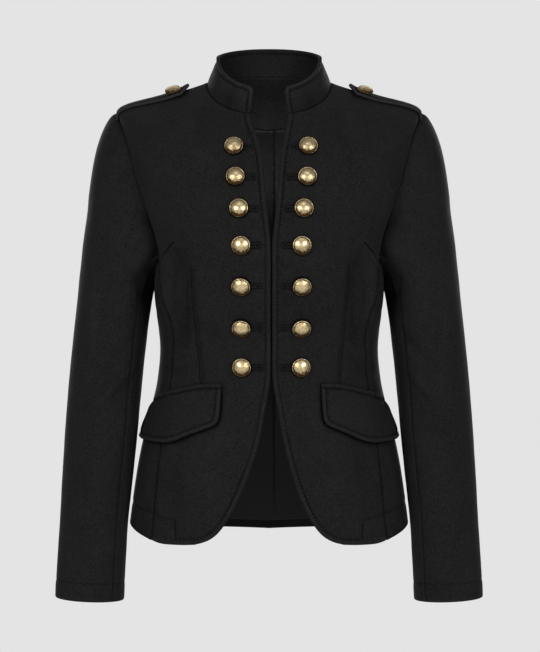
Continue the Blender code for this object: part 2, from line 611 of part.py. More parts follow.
def sleeve_grid():
    # Rows from the armhole down to the cuff, columns round the arm from the shoulder point
    start = body(armhole[:, 0], armhole[:, 1])
    n = normals_of(body, armhole[:, 0], armhole[:, 1], -1.0)
    along = np.roll(start[:-1], -1, axis=0) - np.roll(start[:-1], 1, axis=0)
    along = np.vstack([along, along[:1]])
    out = np.cross(n, along)
    out *= np.where((out[:, 0] > 0) | (out[:, 2] > 0), 1, -1)[:, None]
    out /= np.linalg.norm(out, axis=1, keepdims=True)
    count = len(start) - 1
    turn = np.linspace(0, 1, count + 1)
    low = (1 - np.cos(2 * np.pi * turn)) / 2
    out[:, 1] *= 0.25
    bend = ease(0.35, 0.85, low)[:, None]
    out = out * (1 - bend) + np.array([1.0, 0.0, 0.0]) * bend
    top = 1 - ease(0.0, 0.22, low)[:, None]
    out = out * (1 - top) + np.array([1.0, 0.0, -0.10]) * top
    out[:, 0] = np.maximum(out[:, 0], 0.35)
    out /= np.linalg.norm(out, axis=1, keepdims=True)
    for _ in range(2):
        ring = out[:-1]
        ring = (np.roll(ring, 1, axis=0) + 2 * ring + np.roll(ring, -1, axis=0)) / 4
        out = np.vstack([ring, ring[:1]])
    out /= np.linalg.norm(out, axis=1, keepdims=True)
    cap_z = CAP_OUTER_Z + (CAP_INNER_Z - CAP_OUTER_Z) * low ** 0.8
    end = arm(turn, cap_z)
    down = arm(turn, cap_z - 0.004) - end
    down /= np.linalg.norm(down, axis=1, keepdims=True)
    reach = np.linalg.norm(end - start, axis=1)
    pull0 = (reach * (0.69 - 0.29 * ease(0.0, 0.8, low)))[:, None]
    pull1 = (reach * (0.66 + 0.22 * low))[:, None]
    rows = []
    for u in np.linspace(0, 1, CAP_ROWS + 1):
        rows.append((2 * u ** 3 - 3 * u ** 2 + 1) * start + (u ** 3 - 2 * u ** 2 + u) * out * pull0
                    + (3 * u ** 2 - 2 * u ** 3) * end + (u ** 3 - u ** 2) * down * pull1)
    cuff_z = (CUFF_FRONT_Z + CUFF_BACK_Z) / 2 - (CUFF_BACK_Z - CUFF_FRONT_Z) / 2 * np.sin(2 * np.pi * turn)
    cuff_z = cuff_z + CUFF_OUTER_RISE * np.cos(2 * np.pi * turn)
    for u in np.linspace(0, 1, ARM_ROWS + 1)[1:]:
        rows.append(arm(turn, cap_z + (cuff_z - cap_z) * u))
    grid = np.array(rows)
    grid[:, -1] = grid[:, 0]
    return grid


def grid_normals(grid):
    round_it = np.roll(grid[:, :-1], -1, axis=1) - np.roll(grid[:, :-1], 1, axis=1)
    round_it = np.concatenate([round_it, round_it[:, :1]], axis=1)
    down = np.gradient(grid, axis=0)
    n = np.cross(down, round_it)
    n /= np.linalg.norm(n, axis=-1, keepdims=True)
    return n


sleeve = sleeve_grid()
sleeve_normal = grid_normals(sleeve)
centre = sleeve.mean(axis=1, keepdims=True)
if ((sleeve - centre) * sleeve_normal).sum() < 0:
    sleeve_normal = -sleeve_normal
row_count, column_count = sleeve.shape[:2]


def sleeve_tiles(columns):
    tris = []
    for r in range(row_count - 1):
        for c0, c1 in zip(columns, columns[1:]):
            a = r * column_count + c0
            b = r * column_count + c1
            tris.append((a, b, b + column_count))
            tris.append((a, b + column_count, a + column_count))
    tris = np.array(tris)
    points = sleeve.reshape(-1, 3)
    normal = sleeve_normal.reshape(-1, 3)
    face = np.cross(points[tris[:, 1]] - points[tris[:, 0]], points[tris[:, 2]] - points[tris[:, 0]])
    if (face * normal[tris[:, 0]]).sum() < 0:
        tris = tris[:, ::-1]
    return tris


last = column_count - 1
top_columns = list(range(UNDER_LAST, last)) + list(range(0, UNDER_FIRST + 1))
under_columns = list(range(UNDER_FIRST, UNDER_LAST + 1))
for side, flip in (("right", 1), ("left", -1)):
    for name, columns in (("sleeve_top_", top_columns), ("sleeve_under_", under_columns)):
        p, n, t = sleeve.reshape(-1, 3), sleeve_normal.reshape(-1, 3), sleeve_tiles(columns)
        if flip > 0:
            p, n, t = mirrored(p, n, t)
        shell(name + side, p, n, t, 0.0, -CLOTH, "shell_cloth")


def button(name, centre_point, axis, shank, radius):
    # Lathed dome with a rim and a short shank, its axis pointing out of the cloth
    axis = axis / np.linalg.norm(axis)
    level = np.cross(np.array([0.0, 0.0, 1.0]), axis)
    if np.linalg.norm(level) < 0.2:
        level = np.array([1.0, 0.0, 0.0]) - axis * axis[0]
    level /= np.linalg.norm(level)
    across = np.cross(axis, level)
    dome = BUTTON_DOME * radius / BUTTON_RADIUS
    points = []
    profile = ((SHANK_SHARE, -shank / dome), (SHANK_SHARE, -0.04)) + BUTTON_PROFILE
    for share, height in profile[:-1]:
        for i in range(BUTTON_SIDES):
            a = 2 * math.pi * i / BUTTON_SIDES
            points.append(centre_point + axis * height * dome
                          + (level * math.cos(a) + across * math.sin(a)) * share * radius)
    top = len(points)
    points.append(centre_point + axis * dome)
    base = len(points)
    points.append(centre_point - axis * shank)
    faces = []
    rings = len(profile) - 1
    for r in range(rings - 1):
        for i in range(BUTTON_SIDES):
            j = (i + 1) % BUTTON_SIDES
            a, b = r * BUTTON_SIDES + i, r * BUTTON_SIDES + j
            faces.append((a, b, b + BUTTON_SIDES))
            faces.append((a, b + BUTTON_SIDES, a + BUTTON_SIDES))
    for i in range(BUTTON_SIDES):
        j = (i + 1) % BUTTON_SIDES
        faces.append(((rings - 1) * BUTTON_SIDES + i, (rings - 1) * BUTTON_SIDES + j, top))
        faces.append((j, i, base))
    return add_mesh(name, points, faces, "brass")


def seat(turn, v, lean, lean_way, radius, lift, flip):
    # Middle of a button's back, its axis and the length of its shank, over the cloth
    p = body(turn, v)
    n = normals_of(body, np.array([turn]), np.array([v]), -1.0)[0]
    tilt = math.radians(lean)
    axis = n * math.cos(tilt) + np.array(lean_way) * math.sin(tilt)
    axis /= np.linalg.norm(axis)
    rise = max(BUTTON_STANDOFF, radius * math.sin(tilt) + 0.0011)
    shank = rise / math.cos(tilt) - 0.0005 - SHANK_SHARE * radius * math.tan(tilt)
    p = p + n * (rise + lift)
    if flip > 0:
        p = p * np.array([-1.0, 1.0, 1.0])
        axis = axis * np.array([-1.0, 1.0, 1.0])
    return drift(p[None])[0], axis, shank


for side, flip in (("right", 1), ("left", -1)):
    for i, (x, z, droop) in enumerate(BUTTONS, 1):
        turn, v = locate(x, z)
        seated = seat(turn, v, droop, (0.0, 0.0, -1.0), BUTTON_RADIUS, 0.0, flip)
        button("button_%s_%d" % (side, i), *seated, BUTTON_RADIUS)
    lift = LAYER_GAP + STRAP_CLOTH + STRAP_TIP_LIFT * 0.10
    level = ridge_level(STRAP_BUTTON_X)
    seated = seat(turn_at(level, body(0.5, level)[1] - STRAP_BUTTON_FORWARD), level, STRAP_BUTTON_LEAN, (0.0, -1.0, 0.0),
                  STRAP_BUTTON_RADIUS, lift, flip)
    button("button_epaulette_" + side, *seated, STRAP_BUTTON_RADIUS)
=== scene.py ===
# Military-style blazer: fine cloth shells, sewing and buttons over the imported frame.
# Metres, +Z up, the front faces -Y. Pieces are made for the wearer's left, +X, and mirrored.
import math

import bpy
import numpy as np
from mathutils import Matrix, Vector
from mathutils.geometry import delaunay_2d_cdt
from mathutils.kdtree import KDTree


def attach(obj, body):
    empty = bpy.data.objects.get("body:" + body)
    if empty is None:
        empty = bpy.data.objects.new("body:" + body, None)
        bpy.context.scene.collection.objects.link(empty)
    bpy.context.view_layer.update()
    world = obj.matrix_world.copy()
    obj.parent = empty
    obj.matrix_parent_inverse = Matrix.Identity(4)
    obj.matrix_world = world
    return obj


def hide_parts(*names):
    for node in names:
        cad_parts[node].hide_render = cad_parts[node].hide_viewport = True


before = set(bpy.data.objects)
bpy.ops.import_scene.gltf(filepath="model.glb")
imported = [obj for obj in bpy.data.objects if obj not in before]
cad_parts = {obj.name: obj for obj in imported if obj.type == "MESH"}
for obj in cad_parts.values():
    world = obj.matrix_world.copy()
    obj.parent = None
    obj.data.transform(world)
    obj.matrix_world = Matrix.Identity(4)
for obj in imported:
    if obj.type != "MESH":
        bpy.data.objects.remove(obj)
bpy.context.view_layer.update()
print("blazer: frame loaded")

# Level rings of the body, from the neck down:
# level, half width, side z, side y, front y, front z, back y, back z, roundness, crown
bodyLevels = (
    (0.000, 0.0800, 0.000, 0.003, -0.0720, -0.0468, 0.0680, 0.0150, 2.25, 1.05),
    (0.045, 0.1350, -0.0165, 0.003, -0.0890, -0.0740, 0.0860, -0.0150, 2.35, 1.30),
    (0.090, 0.1940, -0.0385, 0.003, -0.1000, -0.1000, 0.0980, -0.0480, 2.45, 1.55),
    (0.130, 0.1880, -0.080, 0.003, -0.1100, -0.1300, 0.1070, -0.0860, 2.45, 1.50),
    (0.170, 0.1780, -0.120, 0.003, -0.1180, -0.1620, 0.1110, -0.1240, 2.45, 1.40),
    (0.230, 0.1610, -0.181, 0.003, -0.1250, -0.2070, 0.1120, -0.1830, 2.45, 1.20),
    (0.285, 0.1495, -0.237, 0.003, -0.1240, -0.2500, 0.1070, -0.2380, 2.40, 1.00),
    (0.320, 0.1478, -0.272, 0.003, -0.1170, -0.2790, 0.1000, -0.2720, 2.35, 1.00),
    (0.390, 0.1403, -0.342, 0.002, -0.0990, -0.3440, 0.0850, -0.3420, 2.30, 1.00),
    (0.430, 0.1440, -0.382, 0.002, -0.1000, -0.3830, 0.0880, -0.3820, 2.30, 1.00),
    (0.457, 0.1497, -0.409, 0.002, -0.1030, -0.4095, 0.0940, -0.4090, 2.30, 1.00),
    (0.495, 0.1595, -0.447, 0.002, -0.1080, -0.4470, 0.1040, -0.4470, 2.30, 1.00),
    (0.534, 0.1680, -0.486, 0.002, -0.1130, -0.4860, 0.1120, -0.4860, 2.30, 1.00),
    (0.575, 0.1745, -0.527, 0.002, -0.1170, -0.5270, 0.1170, -0.5270, 2.30, 1.00),
    (0.615, 0.1795, -0.567, 0.002, -0.1200, -0.5670, 0.1200, -0.5670, 2.30, 1.00),
    (0.665, 0.1840, -0.617, 0.002, -0.1220, -0.6170, 0.1230, -0.6170, 2.30, 1.00),
)
collarTop = (0.0660, 0.0345, 0.001, -0.0640, -0.0125, 0.0600, 0.0510, 2.2, 1.10)

# Outlines in x and z on the front or the back of the body
frontEdgeLine = (
    (0.0194, -0.0670), (0.0134, -0.0900), (0.0094, -0.1235), (0.0066, -0.1575), (0.0030, -0.1900),
    (0.0009, -0.2150), (0.0009, -0.2600), (0.0009, -0.3200), (0.0011, -0.3700), (0.0034, -0.3950),
    (0.0072, -0.4145), (0.0130, -0.4480), (0.0213, -0.4800), (0.0352, -0.5205), (0.0505, -0.5525),
    (0.0640, -0.5712), (0.0775, -0.5808), (0.0930, -0.5857),
)
armholeFrontLine = ((0.1855, -0.0670), (0.1750, -0.1050), (0.1685, -0.1290), (0.1572, -0.1650), (0.1446, -0.2010),
                    (0.1400, -0.2300))
armholeBackLine = ((0.1835, -0.0720), (0.1755, -0.1080), (0.1670, -0.1400), (0.1560, -0.1750), (0.1455, -0.2100),
                   (0.1400, -0.2320))
sideFrontLine = ((0.1345, -0.2700), (0.1265, -0.2960), (0.1218, -0.3290), (0.1222, -0.3520), (0.1255, -0.3920),
                 (0.1360, -0.4620), (0.1440, -0.5400), (0.1475, -0.5740))
sideBackLine = ((0.1270, -0.2750), (0.1170, -0.3100), (0.1130, -0.3420), (0.1180, -0.3950), (0.1290, -0.4600),
                (0.1370, -0.5300), (0.1400, -0.5690))
hemLine = ((0.17, -0.5862), (0.23, -0.5868), (0.32, -0.5790), (0.41, -0.5695), (0.50, -0.5655), (0.60, -0.5685),
           (0.75, -0.5780), (1.0, -0.5845))  # turn and height
bodySpan = 0.46


def smoothColumns(rows, at):
    # Monotone cubic through the rows, for every column after the first
    rows = np.array(rows, float)
    x, y = rows[:, 0], rows[:, 1:]
    h = np.diff(x)[:, None]
    d = np.diff(y, axis=0) / h
    m = np.zeros_like(y)
    m[0], m[-1] = d[0], d[-1]
    same = d[:-1] * d[1:] > 0
    w1, w2 = 2 * h[1:] + h[:-1], h[1:] + 2 * h[:-1]
    m[1:-1] = np.where(same, (w1 + w2) / (w1 / np.where(same, d[:-1], 1.0) + w2 / np.where(same, d[1:], 1.0)), 0.0)
    i = np.clip(np.searchsorted(x, at) - 1, 0, len(x) - 2)
    step = h[i]
    u = ((at - x[i])[:, None]) / step
    a = (1 + 2 * u) * (1 - u) ** 2 * y[i] + u * (1 - u) ** 2 * step * m[i]
    return a + u * u * (3 - 2 * u) * y[i + 1] + u * u * (u - 1) * step * m[i + 1]


ringAt = np.linspace(0.0, bodyLevels[-1][0], 2400)
ringRows = smoothColumns(bodyLevels, ringAt)


def ease(low, high, value):
    u = np.clip((np.asarray(value, float) - low) / (high - low), 0, 1)
    return u * u * (3 - 2 * u)


def bell(value, width):
    return np.exp(-(np.asarray(value) / width) ** 2)


def ringPoint(turn, width, sideZ, sideY, frontY, frontZ, backY, backZ, power, crown):
    angle = np.pi * turn
    c, s = np.abs(np.sin(angle)), np.abs(np.cos(angle))
    r = (c ** power + s ** power) ** (-1 / power)
    c, s = c * r, s * r
    front = turn < 0.5
    y = sideY + np.where(front, frontY - sideY, backY - sideY) * s
    z = sideZ + np.where(front, frontZ - sideZ, backZ - sideZ) * s ** crown
    return np.stack([width * c * np.where(np.sin(angle) < -1e-9, -1.0, 1.0), y, z], axis=-1)


def body(turn, v):
    turn, v = np.broadcast_arrays(np.asarray(turn, float), np.asarray(v, float))
    return ringPoint(turn, *[np.interp(v, ringAt, ringRows[:, i]) for i in range(9)])


def collar(turn, k):
    turn, k = np.broadcast_arrays(np.asarray(turn, float), np.asarray(k, float))
    low = body(turn, np.zeros_like(turn))
    top = ringPoint(turn, *[np.full_like(turn, value) for value in collarTop])
    return low + (top - low) * k[..., None]


def normalsOf(surface, turn, v, flip):
    e = 0.0015
    v = np.asarray(v, float)
    across = surface(turn + e, v) - surface(turn - e, v)
    n = np.cross(across, surface(turn, v + e) - surface(turn, np.maximum(v - e, 0))) * flip
    return n / np.linalg.norm(n, axis=-1, keepdims=True)


def bodyNormals(turn, v):
    return normalsOf(body, turn, v, -1.0)


def locate(x, z, back=False):
    # Turn and level of the body point that has this x and z
    turns = np.linspace(0.5, 1.0, 81) if back else np.linspace(0.0, 0.5, 81)
    gridT, gridV = np.meshgrid(turns, np.linspace(0.0, 0.66, 133), indexing="ij")
    points = body(gridT, gridV)
    far = (points[..., 0] - x) ** 2 + (points[..., 2] - z) ** 2
    i, j = np.unravel_index(np.argmin(far), far.shape)
    t, v, e = gridT[i, j], gridV[i, j], 1e-4
    for _ in range(30):
        p = body(t, v)
        dt, dv = (body(t + e, v) - p) / e, (body(t, v + e) - p) / e
        jac = np.array([[dt[0], dv[0]], [dt[2], dv[2]]])
        move = np.clip(np.linalg.lstsq(jac, np.array([x - p[0], z - p[2]]), rcond=None)[0], -0.02, 0.02)
        t = min(max(t + move[0], turns[0]), turns[-1])
        v = min(max(v + move[1], 0.0), 0.66)
    return (t, v)


def located(line, back=False):
    return [locate(x, z, back) for x, z in line]


def halved(low, high, holds):
    # The place up to which a test holds
    for _ in range(40):
        middle = (low + high) / 2
        low, high = (middle, high) if holds(middle) else (low, middle)
    return (low + high) / 2


def levelAt(turn, z):
    return halved(0.2, 0.66, lambda v: body(turn, v)[2] > z)


def turnAt(v, y):
    return halved(0.3, 0.7, lambda turn: body(turn, v)[1] < y)


def runAlong(points):
    # Length from the first point to each point
    return np.r_[0, np.cumsum(np.linalg.norm(np.diff(points, axis=0), axis=1))]


def evenly(line, step=None, parts=None, surface=body):
    # The same polyline with its points evenly spaced on the cloth, in the turn and level plane
    line = np.asarray(line, float)
    run = runAlong(surface(line[:, 0], line[:, 1]))
    at = np.linspace(0, run[-1], (parts or max(1, round(run[-1] / step))) + 1)
    return np.stack([np.interp(at, run, line[:, i]) for i in range(2)], axis=1)


def flow(points, parts=None, step=None):
    # Smooth curve through points of the turn and level plane, evenly spaced on the cloth
    size = (bodySpan, 1)
    p = np.array(points, float)
    ends = np.vstack([2 * p[0] - p[1], p, 2 * p[-1] - p[-2]])
    fine = []
    for i in range(len(p) - 1):
        a, b, c, d = ends[i:i + 4]
        u = np.linspace(0, 1, 24, endpoint=False)[:, None]
        tb, tc = (c - a) / 2, (d - b) / 2
        chord = np.linalg.norm((c - b) * size)
        tb, tc = (way * min(1, chord / max(np.linalg.norm(way * size), 1e-9) * 1.2) for way in (tb, tc))
        fine.append((2 * u ** 3 - 3 * u ** 2 + 1) * b + (u ** 3 - 2 * u ** 2 + u) * tb
                    + (3 * u ** 2 - 2 * u ** 3) * c + (u ** 3 - u ** 2) * tc)
    return evenly(np.vstack(fine + [p[-1:]]), step, parts)


def laid(line, surface=body):
    # A line of the turn and level plane as points in space
    return surface(line[:, 0], line[:, 1])


def joined(*curves):
    return np.vstack([np.asarray(curves[0])] + [np.asarray(curve)[1:] for curve in curves[1:]])


def inside(points, loop):
    x, y = points[:, 0], points[:, 1]
    found = np.zeros(len(points), bool)
    for (x0, y0), (x1, y1) in zip(np.roll(loop, 1, axis=0), loop):
        if y0 != y1:
            found ^= ((y0 > y) != (y1 > y)) & (x < (x1 - x0) * (y - y0) / (y1 - y0) + x0)
    return found


def beside(curve, away, surface=body, flip=-1.0):
    # The curve moved sideways on the cloth by a distance, to the left of its run seen from outside
    curve = np.asarray(curve, float)
    t, v = curve[:, 0], curve[:, 1]
    p = surface(t, v)
    along = np.gradient(p, axis=0)
    n = normalsOf(surface, t, v, flip)
    across = np.cross(n, along)
    across /= np.maximum(np.linalg.norm(across, axis=1, keepdims=True), 1e-12)
    e = 1e-4
    dt, dv = (surface(t + e, v) - p) / e, (surface(t, np.abs(v + e)) - p) / e
    g11, g12, g22 = (dt * dt).sum(1), (dt * dv).sum(1), (dv * dv).sum(1)
    b1, b2 = (dt * across).sum(1), (dv * across).sum(1)
    det = np.maximum(g11 * g22 - g12 * g12, 1e-12)
    move = np.stack([(g22 * b1 - g12 * b2) / det, (g11 * b2 - g12 * b1) / det], axis=1)
    return curve + move * np.reshape(away, (-1, 1))


def rows(curve, distances, surface=body, flip=-1.0):
    return np.vstack([beside(curve, d, surface, flip)[1:-1] for d in distances])


def circle(middle, radius, count):
    # Points round a place of the turn and level plane, at a radius on the cloth
    around = np.linspace(0, 2 * math.pi, count, endpoint=False)
    return middle + np.stack([np.cos(around) * radius / bodySpan, np.sin(around) * radius], axis=1)


def distanceTo(points, line, reach=0.03):
    # Distance from each point to a line, and how far along the line its nearest place is
    best, place = np.full(len(points), 9.0), np.zeros(len(points))
    low, high = line.min(axis=0) - reach, line.max(axis=0) + reach
    near = np.flatnonzero(((points > low) & (points < high)).all(axis=1))
    a, ab = line[:-1], np.diff(line, axis=0)
    size = np.maximum((ab ** 2).sum(axis=1), 1e-14)
    run = np.r_[0, np.cumsum(np.sqrt(size))]
    for k in range(0, len(near), 3000):
        some = near[k:k + 3000]
        u = np.clip((points[some] @ ab.T - (a * ab).sum(axis=1)) / size, 0, 1)
        gap = np.zeros_like(u)
        for i in range(3):
            gap += (points[some, i][:, None] - a[:, i] - u * ab[:, i]) ** 2
        j = gap.argmin(axis=1)
        pick = np.arange(len(some))
        best[some] = np.sqrt(gap[pick, j])
        place[some] = run[j] + u[pick, j] * (run[j + 1] - run[j])
    return best, place


def tile(curves, extra, outer, step, scale):
    # Triangles over the outer loop that keep every curve as a run of edges, with extra points for fine relief
    points, index, edges, taken = [], {}, set(), {}
    cell = 0.22 * step

    def room(p):
        i, j = int(p[0] // cell), int(p[1] // cell)
        for a in (i - 1, i, i + 1):
            for b in (j - 1, j, j + 1):
                for q in taken.get((a, b), ()):
                    if (p[0] - q[0]) ** 2 + (p[1] - q[1]) ** 2 < cell ** 2:
                        return False
        return True

    def keep(p):
        taken.setdefault((int(p[0] // cell), int(p[1] // cell)), []).append(p)
        points.append(p)

    for curve in curves:
        last = None
        for p in np.asarray(curve) * scale:
            key = (round(p[0], 6), round(p[1], 6))
            if key not in index:
                index[key] = len(points)
                keep(key)
            here = index[key]
            if last is not None and last != here:
                edges.add((min(last, here), max(last, here)))
            last = here
    loop = np.asarray(outer) * scale
    for group in extra:
        group = np.asarray(group) * scale
        for p in group[inside(group, loop)]:
            key = (round(p[0], 6), round(p[1], 6))
            if room(key):
                keep(key)
    low, high = loop.min(axis=0), loop.max(axis=0)
    grid = []
    for r in range(int((high[1] - low[1]) / (step * 0.866)) + 1):
        xs = np.arange(low[0] + (r % 2) * step / 2, high[0], step)
        grid.append(np.stack([xs, np.full(len(xs), low[1] + r * step * 0.866)], axis=1))
    grid = np.vstack(grid)
    grid = grid[inside(grid, loop)]
    tree = KDTree(len(points))
    for i, p in enumerate(points):
        tree.insert((p[0], p[1], 0), i)
    tree.balance()
    gaps = np.array([tree.find((p[0], p[1], 0))[2] for p in grid])
    every = [Vector(p) for p in points] + [Vector(p) for p in grid[gaps > 0.6 * step]]
    out = delaunay_2d_cdt(every, sorted(edges), [], 0, 1e-7)
    flat = np.array([tuple(p) for p in out[0]]) / np.asarray(scale)
    tris = np.array([f for f in out[2] if len(f) == 3])
    p, q, r = (flat[tris[:, i]] for i in range(3))
    area = (q[:, 0] - p[:, 0]) * (r[:, 1] - p[:, 1]) - (q[:, 1] - p[:, 1]) * (r[:, 0] - p[:, 0])
    tris[area < 0] = tris[area < 0][:, ::-1]
    return flat, tris[np.abs(area) > 1e-10]


def valley(d, deep, wide, lip, lipAt):
    # A seam's groove in the cloth, with its soft sides and the lip beside it
    return deep * bell(d, wide) + 0.00025 * bell(d, 0.0050) - lip * bell(d - lipAt, 0.0018)


def drift(points):
    # The closed front edges hang a little to one side of the middle
    z = points[:, 2]
    down = ease(-0.045, -0.100, z) * (1 - ease(-0.440, -0.560, z))
    wide = 1 - ease(0.055, 0.125, np.abs(points[:, 0]))
    out = points.copy()
    out[:, 0] += 0.0030 * down * wide * ease(0.0, -0.05, points[:, 1])
    return out


def ripple(points, waves, size, seed):
    # Soft random unevenness of the cloth, from a few slanting waves
    r = np.random.default_rng(seed)
    out = np.zeros(len(points))
    for _ in range(waves):
        way = r.normal(size=3)
        way /= np.linalg.norm(way)
        long = size * r.uniform(0.6, 1.8)
        out += np.sin(points @ way * 2 * np.pi / long + r.uniform(0, 6.28)) * r.uniform(0.5, 1.0)
    return out / math.sqrt(waves)


# Materials


class Signal:
    # A socket of a material's tree that can be added, multiplied and so on
    def __init__(self, look, socket):
        self.look, self.socket = look, socket

    def maths(self, operation, first, second):
        return self.look.node("ShaderNodeMath", {0: first, 1: second}, operation=operation)

    def __add__(self, other):
        return self.maths("ADD", self, other)

    def __mul__(self, other):
        return self.maths("MULTIPLY", self, other)

    def __sub__(self, other):
        return self.maths("SUBTRACT", self, other)

    def __rsub__(self, other):
        return self.maths("SUBTRACT", other, self)


class Nodes:
    # A node tree, with one way to add any node
    def __init__(self, tree):
        self.tree = tree

    def feed(self, socket, value):
        if isinstance(value, Signal):
            self.tree.links.new(value.socket, socket)
        else:
            socket.default_value = value

    def node(self, kind, values=None, out=0, **settings):
        made = self.tree.nodes.new(kind)
        for name, value in settings.items():
            setattr(made, name, value)
        for name, value in (values or {}).items():
            self.feed(made.inputs[name], value)
        return Signal(self, made.outputs[out])

    def blend(self, share, first, second):
        return self.node("ShaderNodeMix", {0: share, 6: first, 7: second}, 2, data_type="RGBA")

    def bump(self, height, strength, distance):
        return self.node("ShaderNodeBump", {"Height": height, "Strength": strength, "Distance": distance})

    def share(self, value, low, high):
        return self.node("ShaderNodeMapRange", {"Value": value, "From Min": low, "From Max": high})

    def objectPlace(self):
        return self.node("ShaderNodeTexCoord", out=3)

    def noise(self, place, scale, detail, roughness=0.5):
        return self.node("ShaderNodeTexNoise", {"Vector": place, "Scale": scale, "Detail": detail,
                                                "Roughness": roughness})

    def painted(self, name):
        # A point attribute of the piece
        return self.node("ShaderNodeAttribute", out=2, attribute_name=name)


class Look(Nodes):
    # A material
    def __init__(self, name, **sockets):
        self.material = bpy.data.materials.new(name)
        self.material.use_nodes = True
        super().__init__(self.material.node_tree)
        self.shader = self.tree.nodes["Principled BSDF"]
        self.set(**sockets)

    def set(self, **sockets):
        for name, value in sockets.items():
            self.feed(self.shader.inputs[name.replace("_", " ")], value)


clothLook = {
    "colour": (0.0024, 0.0024, 0.0024, 1.0),
    "paler": (0.0178, 0.0178, 0.0178, 1.0),
    "paintedShade": (0.0004, 0.0004, 0.0004, 1.0),    # painted shade: in seams, needle holes and crease troughs, and round buttons, flaps and straps
    "rubbedAndHighlight": (0.0290, 0.0290, 0.0290, 1.0),  # rolled edges rubbed paler with painted sheen, and painted highlight on lips and ridges
    "ribPitch": 0.00095,      # diagonal rib of the weave
    "ribDepth": 0.00010,
    "grain": 0.00100,         # size of the specks of the yarn
    "roughness": 0.84,
    "sheen": 0.018,
}


def makeCloth():
    s = clothLook
    look = Look("black weave cloth", Roughness=s["roughness"], Specular_IOR_Level=0.10, Sheen_Weight=s["sheen"],
                Sheen_Roughness=0.45, Sheen_Tint=(0.80, 0.82, 0.86, 1.0))
    across = look.node("ShaderNodeSeparateXYZ", {0: look.node("ShaderNodeUVMap", uv_map="weave")})
    down = Signal(look, across.socket.node.outputs[1])
    turnRate = 2 * math.pi / s["ribPitch"]
    rib = look.node("ShaderNodeMath", {0: (across + down) * (turnRate * 0.72)}, operation="SINE")
    yarn = look.node("ShaderNodeMath", {0: (across - down) * (turnRate * 1.35)}, operation="SINE")
    place = look.objectPlace()
    speck = look.node("ShaderNodeVectorMath", {0: place, 1: (s["grain"],) * 3}, operation="SNAP")
    grain = look.node("ShaderNodeTexWhiteNoise", {"Vector": speck}, noise_dimensions="3D")
    cloud, paintedLightAndRub = look.noise(place, 24.0, 3.0, 0.6), look.painted("paintedLightAndRub")
    height = rib * 0.34 + yarn * 0.16 + (grain - 0.5) * 0.5
    look.set(Normal=look.bump(height, 0.55, s["ribDepth"]))
    base = look.blend((cloud - 0.5) * 0.35 + grain * 0.8 + 0.10, s["colour"], s["paler"])
    # Painted light: the attribute pales the cloth toward the rubbed and highlight colour and darkens it toward the
    # painted shade
    base = look.blend(look.share(paintedLightAndRub, 0.0, 1.0), base, s["rubbedAndHighlight"])
    look.set(Base_Color=look.blend(look.share(paintedLightAndRub, 0.0, -1.0), base, s["paintedShade"]))
    return look.material


liningLook = {"colour": (0.0034, 0.0034, 0.0036, 1.0), "paler": (0.0066, 0.0066, 0.0069, 1.0), "roughness": 0.50}


def makeLining():
    s = liningLook
    look = Look("black satin lining", Specular_IOR_Level=0.22, Sheen_Weight=0.05, Sheen_Roughness=0.4)
    long = look.node("ShaderNodeMapping", {"Vector": look.objectPlace(), "Scale": (1.0, 1.0, 0.12)})
    thread, cloud = look.noise(long, 700.0, 2.0), look.noise(long, 30.0, 2.0)
    look.set(Base_Color=look.blend((cloud - 0.3) * 0.8, s["colour"], s["paler"]),
             Roughness=(thread - 0.5) * 0.12 + s["roughness"], Normal=look.bump(thread, 0.25, 0.00006))
    return look.material


brassLook = {
    "bright": (0.86, 0.70, 0.42, 1.0),
    "worn": (0.62, 0.46, 0.235, 1.0),
    "patinaAndReflection": (0.070, 0.038, 0.013, 1.0),
    "roughness": 0.30,
}


def makeBrass():
    s = brassLook
    look = Look("antique brass", Metallic=1.0)
    place, deep = look.objectPlace(), look.painted("patinaAndPaintedReflection")
    blotch, dint = look.noise(place, 470.0, 3.0), look.noise(place, 1300.0, 3.0, 0.6)
    wear = look.share(blotch, 0.40, 0.66)
    metal = look.blend(wear, s["bright"], s["worn"])
    # Patina in the hollows, and painted reflection that darkens the lower side, broken up by blotches
    dark = look.share(deep * (blotch * 1.9 + 0.05), 0.12, 0.90)
    look.set(Base_Color=look.blend(dark, metal, s["patinaAndReflection"]), Roughness=wear * 0.12 + dark * 0.22 + s["roughness"],
             Normal=look.bump(dint, 0.30, 0.00012))
    return look.material


threadLook = {
    "colour": (0.0050, 0.0050, 0.0052, 1.0), "paler": (0.0095, 0.0095, 0.0098, 1.0),
    "twist": (0.0070, 0.0070, 0.0072, 1.0), "twistPaler": (0.0140, 0.0140, 0.0143, 1.0), "roughness": 0.75,
}


def makeThread(name, colour, paler):
    look = Look(name, Specular_IOR_Level=0.08)
    twist = look.noise(look.objectPlace(), 2400.0, 2.0)
    look.set(Base_Color=look.blend(twist, colour, paler),
             Roughness=(twist - 0.5) * 0.2 + threadLook["roughness"], Normal=look.bump(twist, 0.4, 0.00008))
    return look.material


looks = {"cloth": makeCloth(), "lining": makeLining(), "brass": makeBrass(),
         "thread": makeThread("black thread", threadLook["colour"], threadLook["paler"]),
         "twist": makeThread("buttonhole twist", threadLook["twist"], threadLook["twistPaler"])}
print("blazer: materials made")

# Shells

seamRoll = 0.00040   # lip of a seam
edgeRoll = 0.00105   # rolled free edge
lipRows = 4
stitchPitch = 0.0048
paintedHoleShade = 1.9     # painted shade in the needle holes
edgeRubAndSheen = 0.13      # how far rolled edges are painted paler: rubbing, and painted sheen
paintedCreaseShading = 58.0    # painted shade in troughs and painted highlight on ridges, per metre of relief
seamPitch = 0.0029


def bandShape(d, width, crown):
    # Rolled edge: rises from the edge to a soft crown and falls to the row of stitches
    u = np.clip(d / width, 0, 1)
    return crown * (1 - np.abs(2 * u - 0.9) ** 2.6) * (d < width) * ease(0.0, 0.0008, d)


